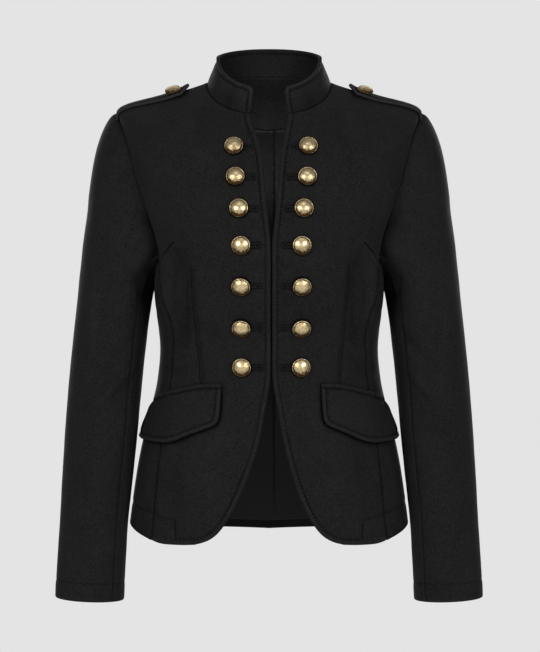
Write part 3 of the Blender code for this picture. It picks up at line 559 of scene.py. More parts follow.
def threaded(points, line, pitch, deep, soft):
    # Groove under a row of stitches, deepest where the needle went in: height, and painted shade in the needle holes
    d, run = distanceTo(points, line)
    long = runAlong(line)[-1]
    phase = run / long * round(long / pitch)
    hole = bell(np.abs(phase % 1 - 0.5) * pitch, 0.00080)
    share = (0.12 + 0.88 * hole) * bell(d, 0.00070)
    return -deep * share - soft * bell(d, 0.0026), -paintedHoleShade * share


def clothShell(name, points, normals, tris, outer, inner, roll, look, uv, paintedLightAndRub=0.0, within=0.0):
    # Closed thin wall over the tiles; its border is drawn in and rolled over
    used = np.unique(tris)
    place = -np.ones(len(points), int)
    place[used] = np.arange(len(used))
    tris = place[tris]
    p, n, uv = points[used].copy(), normals[used], uv[used]
    outer, inner, roll, paintedLightAndRub = (np.broadcast_to(a, len(points))[used][:, None] for a in (outer, inner, roll, paintedLightAndRub))
    sides = np.vstack([tris[:, [0, 1]], tris[:, [1, 2]], tris[:, [2, 0]]])
    key = sides[:, 0].astype(np.int64) * len(p) + sides[:, 1]
    back = sides[:, 1].astype(np.int64) * len(p) + sides[:, 0]
    border = sides[~np.isin(key, back)]
    a, b = border[:, 0], border[:, 1]
    along = p[b] - p[a]
    along /= np.maximum(np.linalg.norm(along, axis=1, keepdims=True), 1e-12)
    pull = np.zeros_like(p)
    np.add.at(pull, a, np.cross(n[a], along))
    np.add.at(pull, b, np.cross(n[b], along))
    size = np.linalg.norm(pull, axis=1, keepdims=True)
    way = pull / np.maximum(size, 1e-9)
    mitre = np.clip(2.0 / np.maximum(size, 0.9), 1.0, 1.5) * (size > 1e-6)
    p += way * mitre * (roll - 0.00015)
    middle, half = (outer + inner) / 2, (outer - inner) / 2
    rim = np.unique(border)
    spot = -np.ones(len(p), int)
    spot[rim] = np.arange(len(rim))
    layers = [p + n * outer, p + n * inner]
    for j in range(1, lipRows + 1):
        bend = math.pi * j / (lipRows + 1)
        edge = p + n * (middle + half * math.cos(bend)) - way * mitre * roll * math.sin(bend)
        layers.append(edge[rim])
    count, rimCount = len(p), len(rim)
    every = drift(np.vstack(layers))
    faces = [tris, tris[:, ::-1] + count]
    rings = [(a, b)] + [(2 * count + j * rimCount + spot[a], 2 * count + j * rimCount + spot[b])
                        for j in range(lipRows)] + [(a + count, b + count)]
    for (a0, b0), (a1, b1) in zip(rings, rings[1:]):
        faces += [np.stack([b0, a0, a1], axis=1), np.stack([b0, a1, b1], axis=1)]
    places = np.vstack([uv, uv] + [uv[rim] + (0.0004 * j, 0.0) for j in range(1, lipRows + 1)])
    piece = addPiece(name, every, np.vstack(faces), look, places)
    # Painted light and rubbing: the inner face takes a share of it, and it fades round the rolled border
    paintedLightAndRub = paintedLightAndRub[:, 0]
    fade = [paintedLightAndRub[rim] * (1 - j / (lipRows + 1)) for j in range(1, lipRows + 1)]
    paintedLightAndRub = np.concatenate([paintedLightAndRub, within * paintedLightAndRub] + fade).astype(np.float32)
    piece.data.attributes.new("paintedLightAndRub", "FLOAT", "POINT").data.foreach_set("value", paintedLightAndRub)
    return piece


def addPiece(name, points, faces, look, uv=None):
    mesh = bpy.data.meshes.new(name)
    faces = np.asarray(faces, np.int32)
    corners = faces.shape[1]
    mesh.vertices.add(len(points))
    mesh.vertices.foreach_set("co", np.asarray(points, np.float32).ravel())
    mesh.loops.add(faces.size)
    mesh.loops.foreach_set("vertex_index", faces.ravel())
    mesh.polygons.add(len(faces))
    mesh.polygons.foreach_set("loop_start", np.arange(0, faces.size, corners, dtype=np.int32))
    if uv is not None:
        layer = mesh.uv_layers.new(name="weave")
        layer.data.foreach_set("uv", np.asarray(uv, np.float32)[faces.ravel()].ravel())
    mesh.update(calc_edges=True)
    mesh.validate()
    mesh.shade_smooth()
    mesh.materials.append(looks[look])
    piece = bpy.data.objects.new(name, mesh)
    bpy.context.scene.collection.objects.link(piece)
    return piece


otherSide = np.array([-1.0, 1.0, 1.0])


def mirrored(points, normals, tris):
    return points * otherSide, normals * otherSide, tris[:, ::-1]


def onSide(side, points, normals, tris):
    # The wearer's left is as made, the right is its mirror image
    return (points, normals, tris) if side == "left" else mirrored(points, normals, tris)


def bothHalves(points, normals, tris, *values):
    # One piece over the centre back, joined where x is nearly zero
    left, leftN, leftT = mirrored(points, normals, tris)
    count = len(points)
    place = np.where(np.abs(points[:, 0]) < 1e-6, np.arange(count), np.arange(count) + count)
    doubled = [np.concatenate([a, a]) for a in values]
    return (np.vstack([points, left]), np.vstack([normals, leftN]), np.vstack([tris, place[leftT]]), *doubled)


def wear(piece, slot, cut=None, stands=()):
    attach(piece, "root")
    if stands:
        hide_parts(*stands)


def outerArea(piece):
    points = np.empty(len(piece.data.vertices) * 3, np.float32)
    piece.data.vertices.foreach_get("co", points)
    points = points.reshape(-1, 3)
    tris = np.array([p.vertices[:] for p in piece.data.polygons])
    a, b, c = (points[tris[:, i]] for i in range(3))
    return float(np.linalg.norm(np.cross(b - a, c - a), axis=1).sum() / 4)


# Body curves

bodySizes = {
    "grid": 0.0036,   # tile size of the cloth
    "thick": 0.0020,
    "edgeBand": 0.0068,                    # edge to topstitch
    "hemDepth": ((0.205, 0.031), (0.27, 0.0325), (0.30, 0.0330), (0.41, 0.0290), (0.52, 0.025), (1.0, 0.022)),
}
curveStep = 0.0032

edgeTurn = locate(0.0240, -0.0462)[0]
neckFront = evenly([(t, 0.0) for t in np.linspace(edgeTurn, 0.5, 40)], curveStep)
neckBack = evenly([(t, 0.0) for t in np.linspace(0.5, 1.0, 44)], curveStep)
shoulder = evenly([(0.5, v) for v in np.linspace(0.0, 0.090, 9)], curveStep)
frontEdge = flow([(edgeTurn, 0.0)] + located(frontEdgeLine), step=curveStep)
seamFootFront = locate(*sideFrontLine[-1])[0]
seamFootBack = locate(*sideBackLine[-1], back=True)[0]


def hemPoint(turn):
    return (turn, levelAt(turn, smoothColumns(hemLine, np.array([turn]))[0, 0]))


hemFront = flow([tuple(frontEdge[-1])] + [hemPoint(t) for t in (0.20, 0.25, seamFootFront)], step=curveStep)
hemSide = flow([hemPoint(t) for t in np.linspace(seamFootFront, seamFootBack, 7)], step=curveStep)
hemBack = flow([hemPoint(t) for t in np.linspace(seamFootBack, 1.0, 6)], step=curveStep)
tip, foot, fineness = (0.5, 0.090), (0.5, 0.300), (6)
armholeFront = flow([tip] + located(armholeFrontLine), parts=9 * fineness)
armholeBack = flow(located(armholeBackLine, True)[::-1] + [tip], parts=9 * fineness)
footFront = flow([tuple(armholeFront[-1]), (0.435, 0.2945), foot], parts=3 * fineness)
footBack = flow([foot, (0.565, 0.2945), tuple(armholeBack[0])], parts=3 * fineness)
armhole = joined(armholeFront, footFront, footBack, armholeBack)
sideFront = flow([tuple(armholeFront[-1])] + located(sideFrontLine[:-1]) + [tuple(hemSide[0])], step=curveStep)
sideBack = flow([tuple(armholeBack[0])] + located(sideBackLine[:-1], True) + [tuple(hemBack[0])], step=curveStep)
centreBack = evenly([(1.0, v) for v in np.linspace(0.0, hemBack[-1][1], 27)], curveStep)

# Pocket: flap and the narrow welt above it
pocketSizes = {
    "top": ((0.0622, -0.3905), (0.0880, -0.3915), (0.1235, -0.4000), (0.1455, -0.4090)),
    "inner": ((0.0626, -0.4080), (0.0640, -0.4260), (0.0668, -0.4350), (0.0730, -0.4398)),
    "foot": ((0.0985, -0.4500), (0.1235, -0.4600), (0.1450, -0.4600), (0.1600, -0.4575)),
    "weltHeight": 0.0050, "lift": 0.0016, "flapThick": 0.0022, "weltThick": 0.0016, "stitch": 0.0062,
}
layerGap = 0.0004
flapTop = flow(located(pocketSizes["top"]), step=curveStep)
flapInner = flow([tuple(flapTop[0])] + located(pocketSizes["inner"]), step=curveStep)
flapFoot = flow([tuple(flapInner[-1])] + located(pocketSizes["foot"]) + [(0.487, levelAt(0.487, -0.4560))],
                step=curveStep)
flapOuter = flow([tuple(flapFoot[-1]), tuple(flapTop[-1])], step=curveStep)
flapLoop = joined(flapTop[::-1], flapInner, flapFoot, flapOuter)
weltTop = flapTop - np.array([0.0, pocketSizes["weltHeight"]])
weltLoop = np.vstack([flapTop, weltTop[::-1], flapTop[:1]])

# Shoulder strap
strapSizes = {
    "half": 0.0215, "tipX": 0.1015, "shoulderX": 0.1130, "buttonX": 0.1228, "lift": 0.0028, "thick": 0.0026,
    "stitch": 0.0050, "buttonLean": 12.0, "buttonForward": 0.0090,
    "soft": 0.4,   # how much of the shoulder's unevenness it follows
}


def ridgeLevel(x):
    return float(np.interp(x, ringRows[:200, 0], ringAt[:200]))


strapFront, strapBack = [tuple(armhole[fineness])], [tuple(armhole[-1 - fineness])]
for x in (0.182, 0.168, 0.154, 0.140, 0.126, strapSizes["shoulderX"]):
    level = ridgeLevel(x)
    strapFront.append((turnAt(level, body(0.5, level)[1] - strapSizes["half"]), level))
    strapBack.append((turnAt(level, body(0.5, level)[1] + strapSizes["half"]), level))
tipX = strapSizes["tipX"]
strapTip = [(turnAt(ridgeLevel(tipX), body(0.5, 0)[1] - 0.006), ridgeLevel(tipX + 0.0015)), (0.5, ridgeLevel(tipX)),
            (turnAt(ridgeLevel(tipX), body(0.5, 0)[1] + 0.006), ridgeLevel(tipX + 0.0015))]
strapLine = evenly(strapFront + strapTip + strapBack[::-1], curveStep)
strapLoop = np.vstack([strapLine, armhole[-1 - fineness:], armhole[:fineness + 1]])

flapSides = joined(flapInner, flapFoot, flapOuter)
flapStitch = beside(evenly(flapSides, 0.0011), pocketSizes["stitch"])
flapStitch = flapStitch[inside(flapStitch, flapLoop)]
strapStitch = beside(evenly(strapLine, 0.0011), -strapSizes["stitch"])
strapStitch = strapStitch[inside(strapStitch, strapLoop)]

facingEdge = flow(((0.50, 0.056), (0.62, 0.066), (0.80, 0.086), (1.0, 0.0963)), step=curveStep)
liningHem = np.array([(t, v - 0.0110) for t, v in hemBack])
cut = np.interp(liningHem[1][1], sideBack[:, 1], sideBack[:, 0])
liningHem[0] = [cut, liningHem[1][1]]
below = sideBack[:, 1] < liningHem[0][1] - 0.001
sideBack = np.vstack([sideBack[below], liningHem[:1], sideBack[sideBack[:, 1] > liningHem[0][1] + 0.001]])

# Darts, as x and z: the bust dart from the side, and the waist dart with its stitching
bustDart = flow(located(((0.1402, -0.2451), (0.1358, -0.2327), (0.1281, -0.2187), (0.1178, -0.2073))), step=0.002)
waistDart = flow(located(((0.1012, -0.2390), (0.1003, -0.2487), (0.0968, -0.2869), (0.0926, -0.3291), (0.0884, -0.3806),
                          (0.0872, -0.3900))), step=0.002)

# Front buttons: x, height, droop in degrees, and x of the buttonhole's eye
buttonRows = (
    (0.0466, -0.0892, 2, 0.0293), (0.0448, -0.1279, 2, 0.0232), (0.0403, -0.1678, 3, 0.0202),
    (0.0376, -0.2138, 4, 0.0167), (0.0376, -0.2644, 8, 0.0165), (0.0373, -0.3160, 11, 0.0160),
    (0.0367, -0.3656, 12, 0.0150),
)
holeSizes = {"reach": 0.0090, "bar": 0.0021}   # length, and half width of the sewn bar

# Creases of the body: turn, level, slant in degrees, half length, half width, height
bodyCreases = (
    (0.395, 0.275, 35, 0.040, 0.0080, -0.0013),
    (0.375, 0.305, 22, 0.034, 0.0060, 0.0009),
    (0.070, 0.345, 12, 0.022, 0.0055, -0.0008),
    (0.085, 0.365, -14, 0.026, 0.0060, 0.0007),
    (0.060, 0.392, 10, 0.020, 0.0050, -0.0007),
    (0.310, 0.395, 8, 0.045, 0.0080, 0.0009),
    (0.330, 0.418, -6, 0.038, 0.0070, -0.0010),
    (0.130, 0.505, 76, 0.050, 0.0140, 0.0010),
    (0.240, 0.540, 84, 0.055, 0.0130, -0.0012),
    (0.345, 0.545, 90, 0.050, 0.0110, 0.0010),
    (0.455, 0.540, 90, 0.055, 0.0120, -0.0012),
    (0.560, 0.360, 30, 0.040, 0.0090, -0.0012),
    (0.620, 0.395, 12, 0.050, 0.0080, 0.0011),
    (0.700, 0.410, -8, 0.055, 0.0085, -0.0013),
    (0.800, 0.385, 6, 0.050, 0.0075, 0.0010),
    (0.890, 0.402, -4, 0.042, 0.0070, -0.0010),
    (0.700, 0.150, 112, 0.060, 0.0150, 0.0012),
    (0.640, 0.190, 70, 0.055, 0.0120, -0.0014),
    (0.860, 0.120, 84, 0.050, 0.0140, -0.0010),
    (0.720, 0.540, 86, 0.060, 0.0150, 0.0012),
    (0.870, 0.545, 93, 0.060, 0.0140, -0.0012),
    (0.600, 0.285, 40, 0.045, 0.0085, 0.0010),
)

# Creases seen on the front: ends in x and z, half width, height
frontCreases = (
    (0.0845, -0.0350, 0.0822, -0.0920, 0.0065, -0.0020),
    (0.1010, -0.0420, 0.1090, -0.0900, 0.0090, 0.0010),
    (0.1140, -0.2130, 0.1125, -0.3450, 0.0150, -0.0076),
    (0.1130, -0.1990, 0.1030, -0.2150, 0.0065, -0.0016),
    (0.1290, -0.2600, 0.1180, -0.3300, 0.0085, 0.0018),
    (0.0300, -0.2930, 0.0105, -0.2860, 0.0042, -0.0011),
    (0.0330, -0.3030, 0.0120, -0.3010, 0.0050, 0.0009),
    (0.0700, -0.3420, 0.0480, -0.3560, 0.0075, -0.0009),
    (0.1180, -0.3700, 0.0850, -0.3620, 0.0070, -0.0010),
    (0.0800, -0.4900, 0.0620, -0.5500, 0.0140, 0.0010),
    (0.1200, -0.4700, 0.1150, -0.5500, 0.0130, -0.0013),
    (0.1560, -0.1350, 0.1330, -0.1950, 0.0120, 0.0010),
)


def drawnCreases(points):
    out = np.zeros(len(points))
    for x0, z0, x1, z1, wide, height in frontCreases:
        path = flow([locate(x0, z0), locate((x0 + x1) / 2 + 0.0015, (z0 + z1) / 2), locate(x1, z1)], step=0.003)
        near, far = laid(path), laid(beside(path, 1.75 * wide))
        d, run = distanceTo(points, near, 4 * wide)
        long = runAlong(near)[-1]
        taper = np.clip(np.sin(np.pi * np.clip(run / long, 0, 1)), 0, 1) ** 0.7
        other, _ = distanceTo(points, far, 3 * wide)
        out += height * taper * (bell(d, wide) - 0.40 * bell(other, 0.9 * wide))
    return out


def creases(across, down, table):
    out = np.zeros(len(across))
    for t0, v0, slant, long, wide, height in table:
        a, b = (across - t0) * bodySpan, down - v0
        c, s = math.cos(math.radians(slant)), math.sin(math.radians(slant))
        run, side = a * c + b * s, -a * s + b * c
        side = side + 2.2 * run ** 2 * (1 if height > 0 else -1)
        q = side / (wide * (1 + 0.5 * (run / long)))
        out += height * (bell(q, 1.0) - 0.42 * bell(q - 1.75, 0.9) - 0.16 * bell(q + 1.8, 1.1)) * bell(run, long)
    return out


seamLines = {name: laid(curve) for name, curve in (
    ("sideFront", sideFront), ("sideBack", sideBack), ("centreBack", centreBack), ("shoulder", shoulder),
    ("armhole", armhole), ("neck", joined(neckFront, neckBack)))}
edgeCurve = joined(frontEdge, hemFront)
hemCurve = joined(hemFront, hemSide, hemBack)
edgeLine = laid(edgeCurve)
hemLine3 = laid(hemCurve)
bustLine, waistLine, bustLip, waistLip = (laid(c) for c in (
    bustDart, waistDart, beside(bustDart, 0.0019), beside(waistDart, -0.0016)))
hemCorner = 0.2135  # turn where the edge stitching turns up into the hem stitching
frontStitch = beside(edgeCurve, bodySizes["edgeBand"])
frontStitch = frontStitch[frontStitch[:, 0] < hemCorner]
hemFrontPart = hemCurve[hemCurve[:, 0] > hemCorner]
depthRows = np.array(bodySizes["hemDepth"])
hemStitch = beside(hemFrontPart, np.interp(hemFrontPart[:, 0], depthRows[:, 0], depthRows[:, 1]))
hemStitch[-1, 0] = 1.0
stitchCurve = evenly(joined(frontStitch, flow([tuple(frontStitch[-1]), tuple(hemStitch[0])], step=0.001), hemStitch),
                     0.0011)
stitchLine = laid(stitchCurve)
seamStitch = evenly(beside(sideFront, 0.0019)[1:-1], 0.0011)
waistStitch = evenly(beside(waistDart, -0.0030), 0.0011)
seamStitchLine, waistStitchLine = (laid(c) for c in (seamStitch, waistStitch))
print("blazer: outlines drawn, edge stitch %d points" % len(frontStitch))


buttonSeats = [body(*locate(x, z)) for x, z, _, _ in buttonRows]
flapEdges = laid(flapSides)
strapEdges = laid(strapLine)


def holeCurve(x, z, eye):
    # The buttonhole's slit from under the button to its eye
    return flow(located(((eye + holeSizes["reach"], z), (eye + holeSizes["reach"] / 2, z), (eye, z))), step=0.0008)


holeCurves = [holeCurve(x, z, eye) for x, z, _, eye in buttonRows]
holeLines = [laid(c) for c in holeCurves]


def softHeight(turn, v, points):
    # Creases and unevenness that every layer shares
    h = creases(turn, v, bodyCreases) + drawnCreases(points)
    h += 0.00022 * ripple(points, 9, 0.075, 3) + 0.00010 * ripple(points, 9, 0.026, 5)
    calm, _ = distanceTo(points, hemLine3)
    return h * ease(0.0, 0.012, calm)


def sewnHeight(points, stitched=True):
    # Seam valleys, rolled edges, stitched grooves, darts and buttonholes: height, and painted light: painted shade and
    # shadow in seams, grooves, holes and round buttons, flaps, strap and welt, painted highlight on dart lips, and
    # rubbing with painted sheen on rolled edges
    h, paintedLightAndRub = np.zeros(len(points)), np.zeros(len(points))
    for name, line in seamLines.items():
        d, _ = distanceTo(points, line)
        h -= valley(d, 0.00110, 0.0009, 0.00022, 0.0038)
        # Painted shade in the seam
        paintedLightAndRub -= (0.25 if name == "centreBack" else 0.55) * bell(d, 0.0008)
    d, run = distanceTo(points, edgeLine)
    band = bandShape(d, bodySizes["edgeBand"] - 0.0008, 1 - 0.18 * np.sin(run * 2 * np.pi / 0.041))
    h += 0.00110 * band
    # Rubbed paler with painted sheen along the rolled edge
    paintedLightAndRub += edgeRubAndSheen * band
    for line, pitch, deep, soft, share in ((stitchLine, stitchPitch, 0.00165, 0.00085, 1.0),
                                           (seamStitchLine, seamPitch, 0.00100, 0.00060, 0.7),
                                           (waistStitchLine, seamPitch, 0.00100, 0.00060, 0.7)):
        groove, dark = threaded(points, line, pitch, deep, soft)
        h += groove * stitched
        paintedLightAndRub += dark * stitched * share
    for line, lipAt, deep, wide, lip in ((bustLine, bustLip, 0.0026, 0.0009, 0.0014),
                                         (waistLine, waistLip, 0.0013, 0.0008, 0.0008)):
        d, run = distanceTo(points, line)
        long = runAlong(line)[-1]
        fade = ease(0.0, 0.006, run) * ease(0.0, 0.006, long - run)
        h += fade * (-deep * bell(d, wide) - 0.16 * deep * bell(d, 0.0045))
        # Painted shade in the dart's groove, painted highlight on its lip
        paintedLightAndRub -= fade * min(1.5, 650 * deep) * bell(d, 0.0010)
        d, _ = distanceTo(points, lipAt)
        h += fade * lip * bell(d, 0.0012)
        paintedLightAndRub += fade * 300 * lip * bell(d, 0.0008)
    for line in holeLines:
        d, _ = distanceTo(points, line)
        h += 0.00035 * (1 - ease(0.0026, 0.0036, d)) - 0.00110 * bell(d - 0.0041, 0.0006) - 0.00130 * bell(d, 0.00055)
        # Painted shade round the buttonhole's bar and in its slit
        paintedLightAndRub -= 0.80 * bell(d - 0.0038, 0.0007) + 0.45 * bell(d, 0.00060)
        d, _ = distanceTo(points, line[-1:] + np.array([[0, 0, 0], [1e-5, 0, 0]]))
        h -= 0.00190 * bell(d, 0.0011)
        # Painted shade in the buttonhole's eye
        paintedLightAndRub -= 1.6 * bell(d, 0.0013)
    for seated in buttonSeats:
        d = np.linalg.norm(points - seated, axis=1)
        h -= 0.0009 * bell(d, 0.0085)
        # Painted shadow round each button
        paintedLightAndRub -= 0.85 * (1 - ease(0.0116, 0.0138, d))
    d, _ = distanceTo(points, flapEdges)
    # Painted shadow beside the flap's edges
    paintedLightAndRub -= 1.1 * bell(d, 0.0028)
    d, _ = distanceTo(points, strapEdges)
    # Painted shadow under the strap's edge
    paintedLightAndRub -= 0.75 * bell(d, 0.0026)
    d, _ = distanceTo(points, laid(weltTop))
    # Painted shade under the welt's top
    return h, paintedLightAndRub - 0.60 * bell(d, 0.0011)


def clothRun(turn, v):
    # Place on the cloth in metres, round the body and down, for the weave
    p = body(*np.meshgrid(np.linspace(0, 1, 161), np.linspace(0, 0.665, 61), indexing="ij"))
    run = np.concatenate([np.zeros((1, 61)), np.cumsum(np.linalg.norm(np.diff(p, axis=0), axis=2), axis=0)])
    ti, vi = np.clip(turn, 0, 1) * 160, np.clip(v, 0, 0.665) / 0.665 * 60
    i, j = np.minimum(ti.astype(int), 159), np.minimum(vi.astype(int), 59)
    a, b = ti - i, vi - j
    u = (run[i, j] * (1 - a) + run[i + 1, j] * a) * (1 - b) + (run[i, j + 1] * (1 - a) + run[i + 1, j + 1] * a) * b
    return np.stack([u, v], axis=1)


# Rows of extra points beside each line that has fine relief
extraRows = [rows(stitchCurve, (-0.0016, -0.0007, 0.0, 0.0007, 0.0016)), rows(seamStitch, (-0.0006, 0.0, 0.0006)),
             rows(waistStitch, (-0.0006, 0.0, 0.0006)),
             rows(evenly(edgeCurve, 0.0020), (0.0012, 0.0024, 0.0038, 0.0050))]
for curve in (sideFront, sideBack, armhole, joined(neckFront, neckBack)):
    extraRows.append(rows(curve, (-0.0040, -0.0025, -0.0012, 0.0012, 0.0025, 0.0040)))
extraRows += [rows(shoulder, (-0.0025, -0.0012, 0.0012, 0.0025)), rows(centreBack, (-0.0040, -0.0025, -0.0012)),
              rows(centreBack, (0.0012, 0.0025, 0.0040)),
              rows(hemCurve, (0.0024, 0.0045)), np.vstack([bustDart, waistDart]),
              rows(bustDart, (-0.0042, -0.0028, -0.0016, -0.0008, 0.0008, 0.0016, 0.0028, 0.0042)),
              rows(waistDart, (-0.0030, -0.0016, -0.0008, 0.0008, 0.0016, 0.0030))]
for curve, away in ((flapInner, 1), (flapFoot, 1), (flapOuter, 1), (strapLine, -1)):
    extraRows.append(rows(evenly(curve, 0.0018), away * np.array([0.0010, 0.0020, 0.0032, 0.0044])))
for curve in (flapStitch, strapStitch):
    extraRows.append(rows(curve, (-0.0014, -0.0007, 0.0, 0.0007, 0.0014)))
for curve in holeCurves:
    extraRows.append(rows(curve, np.arange(-0.0048, 0.0049, 0.0006)))
    for ring in (0.0006, 0.0012, 0.0018, 0.0024, 0.0030, 0.0036, 0.0043):
        extraRows.append(circle(curve[-1], ring, max(8, round(ring / 0.00012))))
for x, z, _, _ in buttonRows:
    extraRows += [circle(np.array(locate(x, z)), ring, 56) for ring in (0.0112, 0.0121, 0.0130, 0.0139)]
pleatX = 0.0060   # half distance between the edges of the pleat
pleatV = np.arange(0.075, 0.640, 0.004)
backWidth = np.interp(pleatV, ringAt, ringRows[:, 0])
for x in (0.0030, 0.0045, 0.0054, 0.0058, 0.0062, 0.0066, 0.0075, 0.0090):
    extraRows.append(np.stack([1 - np.arcsin(np.clip(x / backWidth, 0, 1)) / math.pi, pleatV], axis=1))

outerLoop = joined(neckFront, neckBack, centreBack, hemBack[::-1], hemSide[::-1], hemFront[::-1], frontEdge[::-1])
bodyCurves = [neckFront, neckBack, shoulder, frontEdge, hemFront, hemSide, hemBack, armhole, sideFront, sideBack,
              centreBack, flapTop, flapInner, flapFoot, flapOuter,
              np.vstack([flapTop[:1], weltTop, flapTop[-1:]]), strapLine, facingEdge, liningHem]
flat, tiles = tile(bodyCurves, extraRows, outerLoop, bodySizes["grid"], (bodySpan, 1.0))
tiles = tiles[:, ::-1]
middle = flat[tiles].mean(axis=1)
cloth = laid(flat)
clothNormal = bodyNormals(flat[:, 0], flat[:, 1])
weave = clothRun(flat[:, 0], flat[:, 1])
print("blazer: body laid out, %d tiles a half" % len(tiles))

frontLoop = joined(neckFront, shoulder, armholeFront, sideFront, hemFront[::-1], frontEdge[::-1])
sideLoop = joined(sideFront[::-1], footFront, footBack, sideBack, hemSide[::-1])
backLoop = joined(neckBack, centreBack, hemBack[::-1], sideBack[::-1], armholeBack, shoulder[::-1])
inFront, inSide, inBack = (inside(middle, loop) for loop in (frontLoop, sideLoop, backLoop))
onCloth = inFront | inSide | inBack
inFlap, inWelt, inStrap = (onCloth & inside(middle, loop) for loop in (flapLoop, weltLoop, strapLoop))
facingSide = np.vstack([facingEdge, [(1.0, -0.1), (0.5, -0.1)]])
liningSide = np.vstack([liningHem, [(1.0, 0.75), (0.4, 0.75), (0.4, liningHem[0][1])]])
inFacing = inBack & inside(middle, facingSide)
inLining = inBack & ~inFacing & ~inside(middle, liningSide)

soft = softHeight(flat[:, 0], flat[:, 1], cloth)
sewn, paintedLightAndRub = sewnHeight(cloth)
# Painted shade in the troughs of creases and painted highlight on their ridges
paintedLightAndRub = paintedLightAndRub + paintedCreaseShading * soft
under = np.zeros(len(flat))
for region in (inFlap, inWelt, inStrap):
    under[np.unique(tiles[region])] = 1.0
panel = soft + np.where(under > 0, np.minimum(sewn, 0), sewn)
freeEdge, _ = distanceTo(cloth, np.vstack([edgeLine, hemLine3[len(hemFront) - 1:]]))
panelRoll = np.where(freeEdge < 0.0004, edgeRoll, seamRoll)
print("blazer: relief worked out")


def flapGap(turn, v, points):
    # The flap stands further off the jacket toward its foot, and a little more at its free edges
    drop = np.clip((v - np.interp(turn, flapTop[:, 0], flapTop[:, 1])) / 0.05, 0, 1)
    edge, _ = distanceTo(points, flapEdges)
    top, _ = distanceTo(points, laid(flapTop))
    stand = 0.0016 * (1 - ease(0.004, 0.022, edge)) * ease(0.0, 0.012, top)
    return layerGap + pocketSizes["lift"] * drop + stand


def strapGap(points):
    # The strap's point lifts off the shoulder
    return layerGap + strapSizes["lift"] * (1 - ease(tipX, strapSizes["buttonX"] + 0.014, points[:, 0]))


flapRise, strapRise = flapGap(flat[:, 0], flat[:, 1], cloth), strapGap(cloth)


def bandHeight(points, lines, stitches, width, stitched=True):
    # Rolled edge with a stitched groove beside it, for small pieces: height, and painted light: rubbing with painted
    # sheen on the edge, painted shade in the needle holes
    d, run = distanceTo(points, laid(lines))
    band = bandShape(d, width - 0.0006, 1 - 0.15 * np.sin(run * 2 * np.pi / 0.033))
    groove, dark = threaded(points, laid(stitches), stitchPitch, 0.00155, 0.00085)
    return 0.0013 * band + groove * stitched, (edgeRubAndSheen + 0.07) * band + dark * stitched


topAway, _ = distanceTo(cloth, laid(flapTop))
flapHeight, flapLightAndRub = bandHeight(cloth, flapSides, flapStitch, pocketSizes["stitch"])
flapHeight = soft + flapHeight - 0.0012 * bell(topAway, 0.0016)
# Painted shade along the flap's top under the welt, and a touch paler all over
flapLightAndRub = flapLightAndRub - 0.8 * bell(topAway, 0.0013) + 0.06
strapHeight, strapLightAndRub = bandHeight(cloth, strapLine, strapStitch, strapSizes["stitch"])
strapHeight = soft * strapSizes["soft"] + strapHeight
# Painted highlight along the strap's edge
strapLightAndRub = strapLightAndRub + 0.8 * bell(distanceTo(cloth, strapEdges)[0], 0.0022)
weltAcross = flat[:, 1] - np.interp(flat[:, 0], flapTop[:, 0], flapTop[:, 1]) + pocketSizes["weltHeight"] / 2
weltHeight = soft + 0.0014 * bell(weltAcross, 0.0022)
# Painted highlight along the welt's lip
weltHighlight = 0.22 * bell(weltAcross + 0.0006, 0.0016)

# Cut of each piece: width, length and area of its flat cloth
cuts = {
    "front": (0.27, 0.60, 0.0900), "side": (0.175, 0.36, 0.0495), "back": (0.22, 0.62, 0.1000),
    "flap": (0.125, 0.070, 0.0080), "welt": (0.125, 0.010, 0.00072), "strap": (0.115, 0.048, 0.0050),
    "facing": (0.24, 0.14, 0.0240), "lining": (0.40, 0.53, 0.168), "collar": (0.42, 0.050, 0.0164),
    "sleeveTop": (0.22, 0.64, 0.1175), "sleeveUnder": (0.11, 0.60, 0.0440),
}
panelPieces = {}
for side in ("right", "left"):
    p, n, t = onSide(side, cloth, clothNormal, tiles)
    inner = -bodySizes["thick"] + 0.6 * panel
    for name, region, node in (("front", inFront, "front_"), ("side", inSide, "side_"), ("back", inBack, "back_")):
        piece = clothShell(name + "Cloth_" + side, p, n, t[region], panel, inner, panelRoll, "cloth", weave, paintedLightAndRub)
        wear(piece, "shell_cloth", cuts[name], [node + side])
        panelPieces[name] = piece
    flap = clothShell("flapCloth_" + side, p, n, t[inFlap], flapRise + pocketSizes["flapThick"] + flapHeight,
                      flapRise + soft * 0.9 + 0.0001, 0.0009, "cloth", weave, flapLightAndRub)
    wear(flap, "shell_cloth", cuts["flap"], ["pocket_flap_" + side])
    welt = clothShell("weltCloth_" + side, p, n, t[inWelt], layerGap + pocketSizes["weltThick"] + weltHeight,
                      layerGap + soft, 0.0006, "cloth", weave, weltHighlight)
    wear(welt, "shell_cloth", cuts["welt"], ["pocket_welt_" + side])
    strap = clothShell("strapCloth_" + side, p, n, t[inStrap], strapRise + strapSizes["thick"] + strapHeight,
                       strapRise + soft * strapSizes["soft"] + 0.0001, 0.0010, "cloth", weave, strapLightAndRub)
    wear(strap, "shell_cloth", cuts["strap"], ["epaulette_" + side])
    panelPieces.update(flap=flap, welt=welt, strap=strap)
for name, piece in panelPieces.items():
    print("blazer: area of %s %.5f, %d triangles" % (name, outerArea(piece), len(piece.data.polygons)))
print("blazer: panels, flaps and straps made")

# Back neck facing and lining, with a pleat down the middle of the lining
lined = -bodySizes["thick"] - layerGap
facingAway, _ = distanceTo(cloth, laid(facingEdge))
hemAway, _ = distanceTo(cloth, laid(liningHem), 0.05)
p, n, t, u, s, away = bothHalves(cloth, clothNormal, tiles[inFacing], weave, soft, facingAway)
